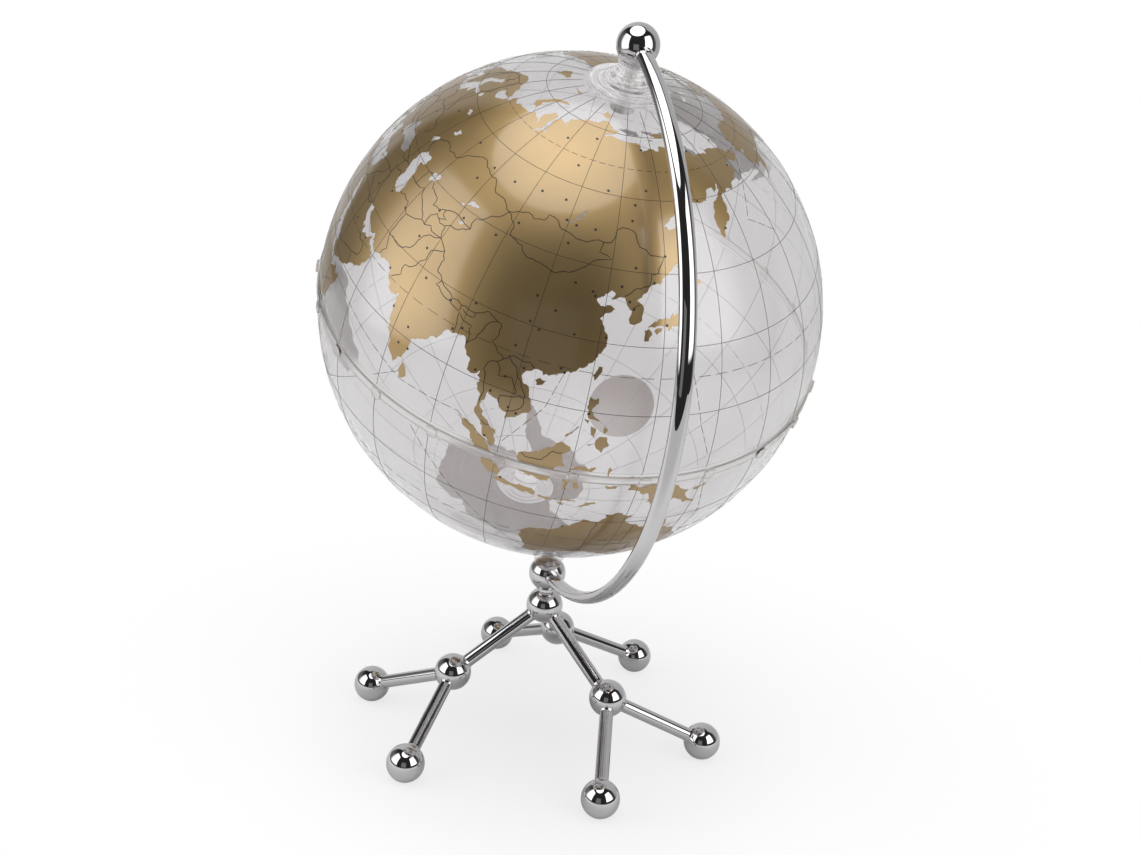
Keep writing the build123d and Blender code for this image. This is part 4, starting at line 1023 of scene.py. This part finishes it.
def clear_seam(material):
    """Clears and frosts the lap of the two shells, and paints shade along its edges and the lugs' walls."""
    tree = material.node_tree
    shader = tree.nodes["Principled BSDF"]
    place = from_globe(tree)
    off = maths(tree, "ABSOLUTE", along(tree, place, POLE))
    beyond = mapped(tree, off, SEAM_HALF, SEAM_HALF * SEAM_FADE)
    edge = maths(tree, "COMPARE", off, LAP_HALF, LAP_LINE_HALF)
    wall = maths(tree, "COMPARE", off_axis(tree, place), LUG_WALL_MIDDLE, LUG_WALL_HALF)
    tint = mixed_colour(tree, beyond, SEAM_TINT, shader.inputs["Base Color"].default_value)
    # Painted shade: darker colour along the lap's edges and the lugs' walls
    for mask in (edge, wall):
        tint = mixed_colour(tree, mask, tint, LAP_PAINTED_SHADE)
    plain = shader.inputs["Roughness"].links[0].from_socket
    fill(tree, shader, {"Base Color": tint, "Roughness": mixed(tree, beyond, LAP_ROUGHNESS, plain)})


CHROME = metal("chrome", (0.56, 0.551, 0.561), smoothest=0.025, roughest=0.06, marks=0.03)
PIN_STEEL = metal("pin_steel", (0.82, 0.81, 0.8), smoothest=0.3, roughest=0.42, marks=0.2)
SHELL_CLEAR = clear_plastic(
    "shell_clear", (0.885, 0.874, 0.88), ior=1.1, clarity=1.0, smoothest=0.0, roughest=0.02
)
clear_seam(SHELL_CLEAR)
PLUG_CLEAR = clear_plastic(
    "moulded_clear", (0.98, 0.972, 0.975), ior=1.25, clarity=0.8, smoothest=0.03, roughest=0.1
)
CUP_CLEAR = clear_plastic(
    "cup_clear", (0.9, 0.885, 0.875), ior=1.1, clarity=1.0, smoothest=0.0, roughest=0.03
)
CAP_CLEAR = clear_plastic(
    "cap_clear", (0.95, 0.94, 0.945), ior=1.25, clarity=0.85, smoothest=0.03, roughest=0.1
)
ring_steps(CAP_CLEAR)
NYLON_FINISH = {"Subsurface Weight": 0.1}
NYLON = ink("white_nylon", (0.86, 0.85, 0.82), (0.8, 0.8, 0.78), 0.5, NYLON_FINISH, 0.1, 0.05 * MM)
GOLD_FINISH = {
    "Metallic": 1.0,
    "Specular Tint": (0.4, 0.335, 0.25, 1),
    "Coat Weight": 1.0,
    "Coat Roughness": 0.1,
}
GOLD_PRINT = ink("gold_print", (0.4, 0.281, 0.132), (0.377, 0.262, 0.121), 0.42, GOLD_FINISH)
GREY_PRINT = ink("grey_print", (0.625, 0.596, 0.568), (0.592, 0.564, 0.538), 0.6, {})
ROSE_BACK = ink("rose_back", (0.745, 0.714, 0.68), (0.71, 0.68, 0.648), 0.6, {})
PALE_PRINT = ink("pale_print", (0.4, 0.392, 0.385), (0.446, 0.438, 0.43), 0.6, {})
DARK_FINISH = {"Coat Weight": 0.1, "Coat Roughness": 0.1}
DARK_PRINT = ink("dark_print", (0.022, 0.012, 0.005), (0.03, 0.018, 0.008), 0.4, DARK_FINISH)
LAND_INKS = (GOLD_PRINT, GREY_PRINT)
LINE_INKS = (DARK_PRINT, PALE_PRINT)

NODE_LOOKS = {
    "north_shell": SHELL_CLEAR,
    "south_shell": SHELL_CLEAR,
    "north_cap": CAP_CLEAR,
    "south_cap": PLUG_CLEAR,
    "support_cup": CUP_CLEAR,
    "pivot_pin": PIN_STEEL,
    "neck_stud": PIN_STEEL,
    "pivot_washer": NYLON,
}
for name, node in nodes.items():
    node.data.materials.clear()
    node.data.materials.append(NODE_LOOKS.get(name, CHROME))

# Land
coast_dice = random.Random(COAST_SEED)
LAND = {
    "land_eurasia": (EURASIA, *ASIAN_LAKES),
    "land_africa": (AFRICA, *AFRICAN_LAKES),
    "land_north_america": (NORTH_AMERICA, *AMERICAN_LAKES),
    "land_south_america": (SOUTH_AMERICA,),
    "land_greenland": (GREENLAND,),
    "land_australia": (AUSTRALIA,),
    "land_antarctica": (ANTARCTICA,),
}
for name, coasts in LAND.items():
    add_print(name, ink_solid(*land_sheet(coasts, coast_dice)), LAND_INKS)
islands = [ink_solid(*land_sheet((island,), coast_dice)) for island in ISLANDS]
add_print("land_islands", joined(islands), LAND_INKS)

# Lines
grid = []
meridian_steps = int((GRID_NORTH - GRID_SOUTH) / LINE_STEP)
for longitude in range(0, 360, GRID_STEP):
    meridian = [map_direction(longitude, GRID_SOUTH + k * LINE_STEP) for k in range(meridian_steps + 1)]
    grid += [line_solid(run, GRID_WIDTH) for run in clear_runs(meridian)]
for latitude in range(-GRID_LAST_PARALLEL, GRID_LAST_PARALLEL + 1, GRID_STEP):
    if latitude:
        parallel = [map_direction(k * LINE_STEP, latitude) for k in range(FULL_CIRCLE)]
        grid.append(line_solid(parallel, GRID_WIDTH, closed=True))
for latitude in DASHED_PARALLELS:
    circle = [map_direction(k * LINE_STEP, latitude) for k in range(FULL_CIRCLE + 1)]
    grid += [line_solid(dash, GRID_WIDTH) for dash in dashes(circle, *CIRCLE_DASH)]
add_print("map_grid", joined(grid), LINE_INKS)
border_dice = random.Random(BORDER_SEED)
borders = []
for border in BORDERS:
    bent = wandering(along_places(border, BORDER_STEP), border_dice)
    borders += [line_solid(run, BORDER_WIDTH) for run in clear_runs(bent)]
add_print("map_borders", joined(borders), LINE_INKS)
routes = []
for route in SEA_ROUTES:
    for run in clear_runs(along_places(route, ROUTE_STEP)):
        routes += [line_solid(dash, GRID_WIDTH) for dash in dashes(run, *ROUTE_DASH)]
add_print("sea_routes", joined(routes), LINE_INKS)
add_print("rose_disc", rose_disc(ROSE_DISC_RINGS, ROSE_DISC_SIDES), (GOLD_PRINT, ROSE_BACK))
add_print("rose_star", joined(rose_star()), LINE_INKS)
add_print("city_dots", joined([dot_solid(map_direction(*city)) for city in CITIES]), LINE_INKS)


def level_direction(turn):
    """Level direction turned so many degrees from the camera's side, to the right."""
    return cos(radians(turn)) * FRONT + sin(radians(turn)) * SIDE


def plain_white(tree):
    """For what is plain white to the camera and through the plastic: a mask of such rays and a brightness."""
    path = new_node(tree, "LightPath")
    seen = maths(tree, "MAXIMUM", path["Is Camera Ray"], path["Is Transmission Ray"])
    return seen, mapped(tree, path["Is Transmission Ray"], 0.0, 1.0, 1.0, SEEN_THROUGH)


def add_floor():
    """White table top just under the feet, whose edges the chrome mirrors; it keeps the shadow, and its
    colour also holds painted shade round the stand and towards the camera.
    """
    corners = (
        (TABLE_FRONT, -TABLE_SIDE),
        (TABLE_FRONT, TABLE_SIDE),
        (-TABLE_BACK, TABLE_BACK_SIDE),
        (-TABLE_BACK, -TABLE_BACK_SIDE),
    )
    points = [FRONT * ahead + SIDE * aside - UP * FLOOR_DROP for ahead, aside in corners]
    material, tree, shader = blank_material("white_table")
    place = new_node(tree, "NewGeometry")["Position"]
    far = vector_maths(tree, "LENGTH", place)["Value"]
    # Painted shade in the table's colour: darker near the stand and towards the camera
    dusk = eased(tree, along(tree, place, FRONT), *TABLE_DUSK)
    shade = maths(tree, "MULTIPLY", eased(tree, far, *TABLE_SHADE), dusk)
    fill(tree, shader, {"Base Color": shade, "Roughness": 0.7, "Specular IOR Level": 0.1})
    seen, brightness = plain_white(tree)
    glow = new_node(tree, "Emission", {"Strength": brightness})["Emission"]
    share = maths(tree, "MULTIPLY", eased(tree, far, *TABLE_FADE), seen)
    set_surface(tree, mixed_shader(tree, share, shader.outputs["BSDF"], glow))
    floor = new_object("table_top", new_mesh("table_top", points, [(0, 1, 2, 3)], [material]))


def add_world():
    """White to the camera and through the globe, a dark room with a pale backdrop to the chrome and gold."""
    world = bpy.data.worlds.new("studio")
    bpy.context.scene.world = world
    world.use_nodes = True
    world.cycles.sampling_method = "NONE"
    tree = world.node_tree
    way = new_node(tree, "TexCoord")["Generated"]
    height = along(tree, way, UP)
    backdrop = eased(tree, height, *BACKDROP_TOP)
    for turn in (BACKDROP_RIGHT + 90, BACKDROP_LEFT - 90):
        within = eased(tree, along(tree, way, level_direction(turn)), *BACKDROP_EDGE)
        backdrop = maths(tree, "MULTIPLY", backdrop, within)
    behind = eased(tree, along(tree, way, FRONT), *ROOM_BEHIND)
    low_behind = maths(tree, "MULTIPLY", behind, eased(tree, height, *ROOM_LOW))
    room = mapped(tree, low_behind, 0.0, 1.0, *ROOM_GLOW)
    mirrored = mixed(tree, backdrop, room, mapped(tree, along(tree, way, SIDE), *BACKDROP_GLOW))
    seen, brightness = plain_white(tree)
    lit = mixed(tree, new_node(tree, "LightPath")["Is Glossy Ray"], FILL_LIGHT, mirrored)
    fill(tree, tree.nodes["Background"], {"Color": WHITE, "Strength": mixed(tree, seen, lit, brightness)})


def add_softbox(name, place, back, aside, size, radiance, shape, edges):
    """Softbox with its back and its side turned so; edges say where it fades out across and upwards."""
    lamp = bpy.data.lights.new(name, "AREA")
    lamp.shape = shape
    lamp.size, lamp.size_y = size
    area = size[0] * size[1] * (pi / 4 if shape == "ELLIPSE" else 1)
    lamp.energy = pi * area * radiance
    lamp.use_nodes = True
    tree = lamp.node_tree
    spot = new_node(tree, "NewGeometry")["Parametric"]
    apart = new_node(tree, "SeparateXYZ", {"Vector": spot})
    strength = 1.0
    for label, start, end in edges:
        strength = maths(tree, "MULTIPLY", strength, eased(tree, apart[label], start, end))
    fill(tree, tree.nodes["Emission"], {"Strength": strength})
    softbox = new_object(name, lamp)
    turn = Matrix((aside, back.cross(aside), back)).transposed().to_4x4()
    softbox.matrix_world = Matrix.Translation(place) @ turn
    softbox.visible_camera = False
    softbox.visible_transmission = False


def add_standing_softbox(name, turn, far, foot, size, radiance, fades):
    """Upright softbox on the table, turned round from the camera's side."""
    back = level_direction(turn)
    place = back * far + UP * (foot + size[1] / 2)
    add_softbox(name, place, back, UP.cross(back), size, radiance, "RECTANGLE", (*fades, *FADE_UP_AND_DOWN))


def add_camera_board():
    """Grey board under the camera that glows faintly instead of being lit, as a painted reflection; only the
    chrome and the gold mirror it.
    """
    middle = level_direction(BOARD_TURN) * BOARD_FAR
    half = level_direction(BOARD_TURN + 90) * BOARD_WIDTH / 2
    corners = ((-1, BOARD_BOTTOM), (1, BOARD_BOTTOM), (1, BOARD_TOP), (-1, BOARD_TOP))
    points = [middle + half * way + UP * height for way, height in corners]
    material, tree, _ = blank_material("camera_board")
    set_surface(tree, new_node(tree, "Emission", {"Strength": BOARD_GLOW})["Emission"])
    board = new_object("camera_board", new_mesh("camera_board", points, [(0, 1, 2, 3)], [material]))
    board.visible_camera = False
    board.visible_diffuse = False
    board.visible_transmission = False
    board.visible_shadow = False


add_floor()
add_world()
add_camera_board()
add_softbox("softbox_top", TOP_PLACE, UP, SIDE, (0.5, 0.55), 2.64, "ELLIPSE", ())
LEFT_FADES = (("X", 1.0, 0.94), ("X", 0.0, 0.42))
add_standing_softbox(
    "softbox_left", turn=-75, far=0.62, foot=0.05, size=(0.66, 0.79), radiance=2.2, fades=LEFT_FADES
)
RIGHT_FADES = (("X", 0.0, 0.08), ("X", 1.0, 0.68))
add_standing_softbox(
    "softbox_right", turn=58, far=0.8, foot=0.12, size=(0.72, 0.95), radiance=2.75, fades=RIGHT_FADES
)

camera_data = bpy.data.cameras.new("photo_camera")
camera_data.sensor_width = SENSOR_WIDTH
camera_data.lens = FOCAL_PIXELS * SENSOR_WIDTH / IMAGE_WIDTH
camera_data.clip_start = 0.01
camera = new_object("photo_camera", camera_data)
camera_turn = Matrix((CAMERA_RIGHT, CAMERA_UP, CAMERA_BACK)).transposed().to_4x4()
camera.matrix_world = Matrix.Translation(CAMERA_PLACE) @ camera_turn
bpy.context.scene.camera = camera
bpy.context.scene.view_settings.view_transform = "Standard"
paths = bpy.context.scene.cycles
paths.max_bounces = 20
paths.glossy_bounces = 10
paths.transmission_bounces = 20
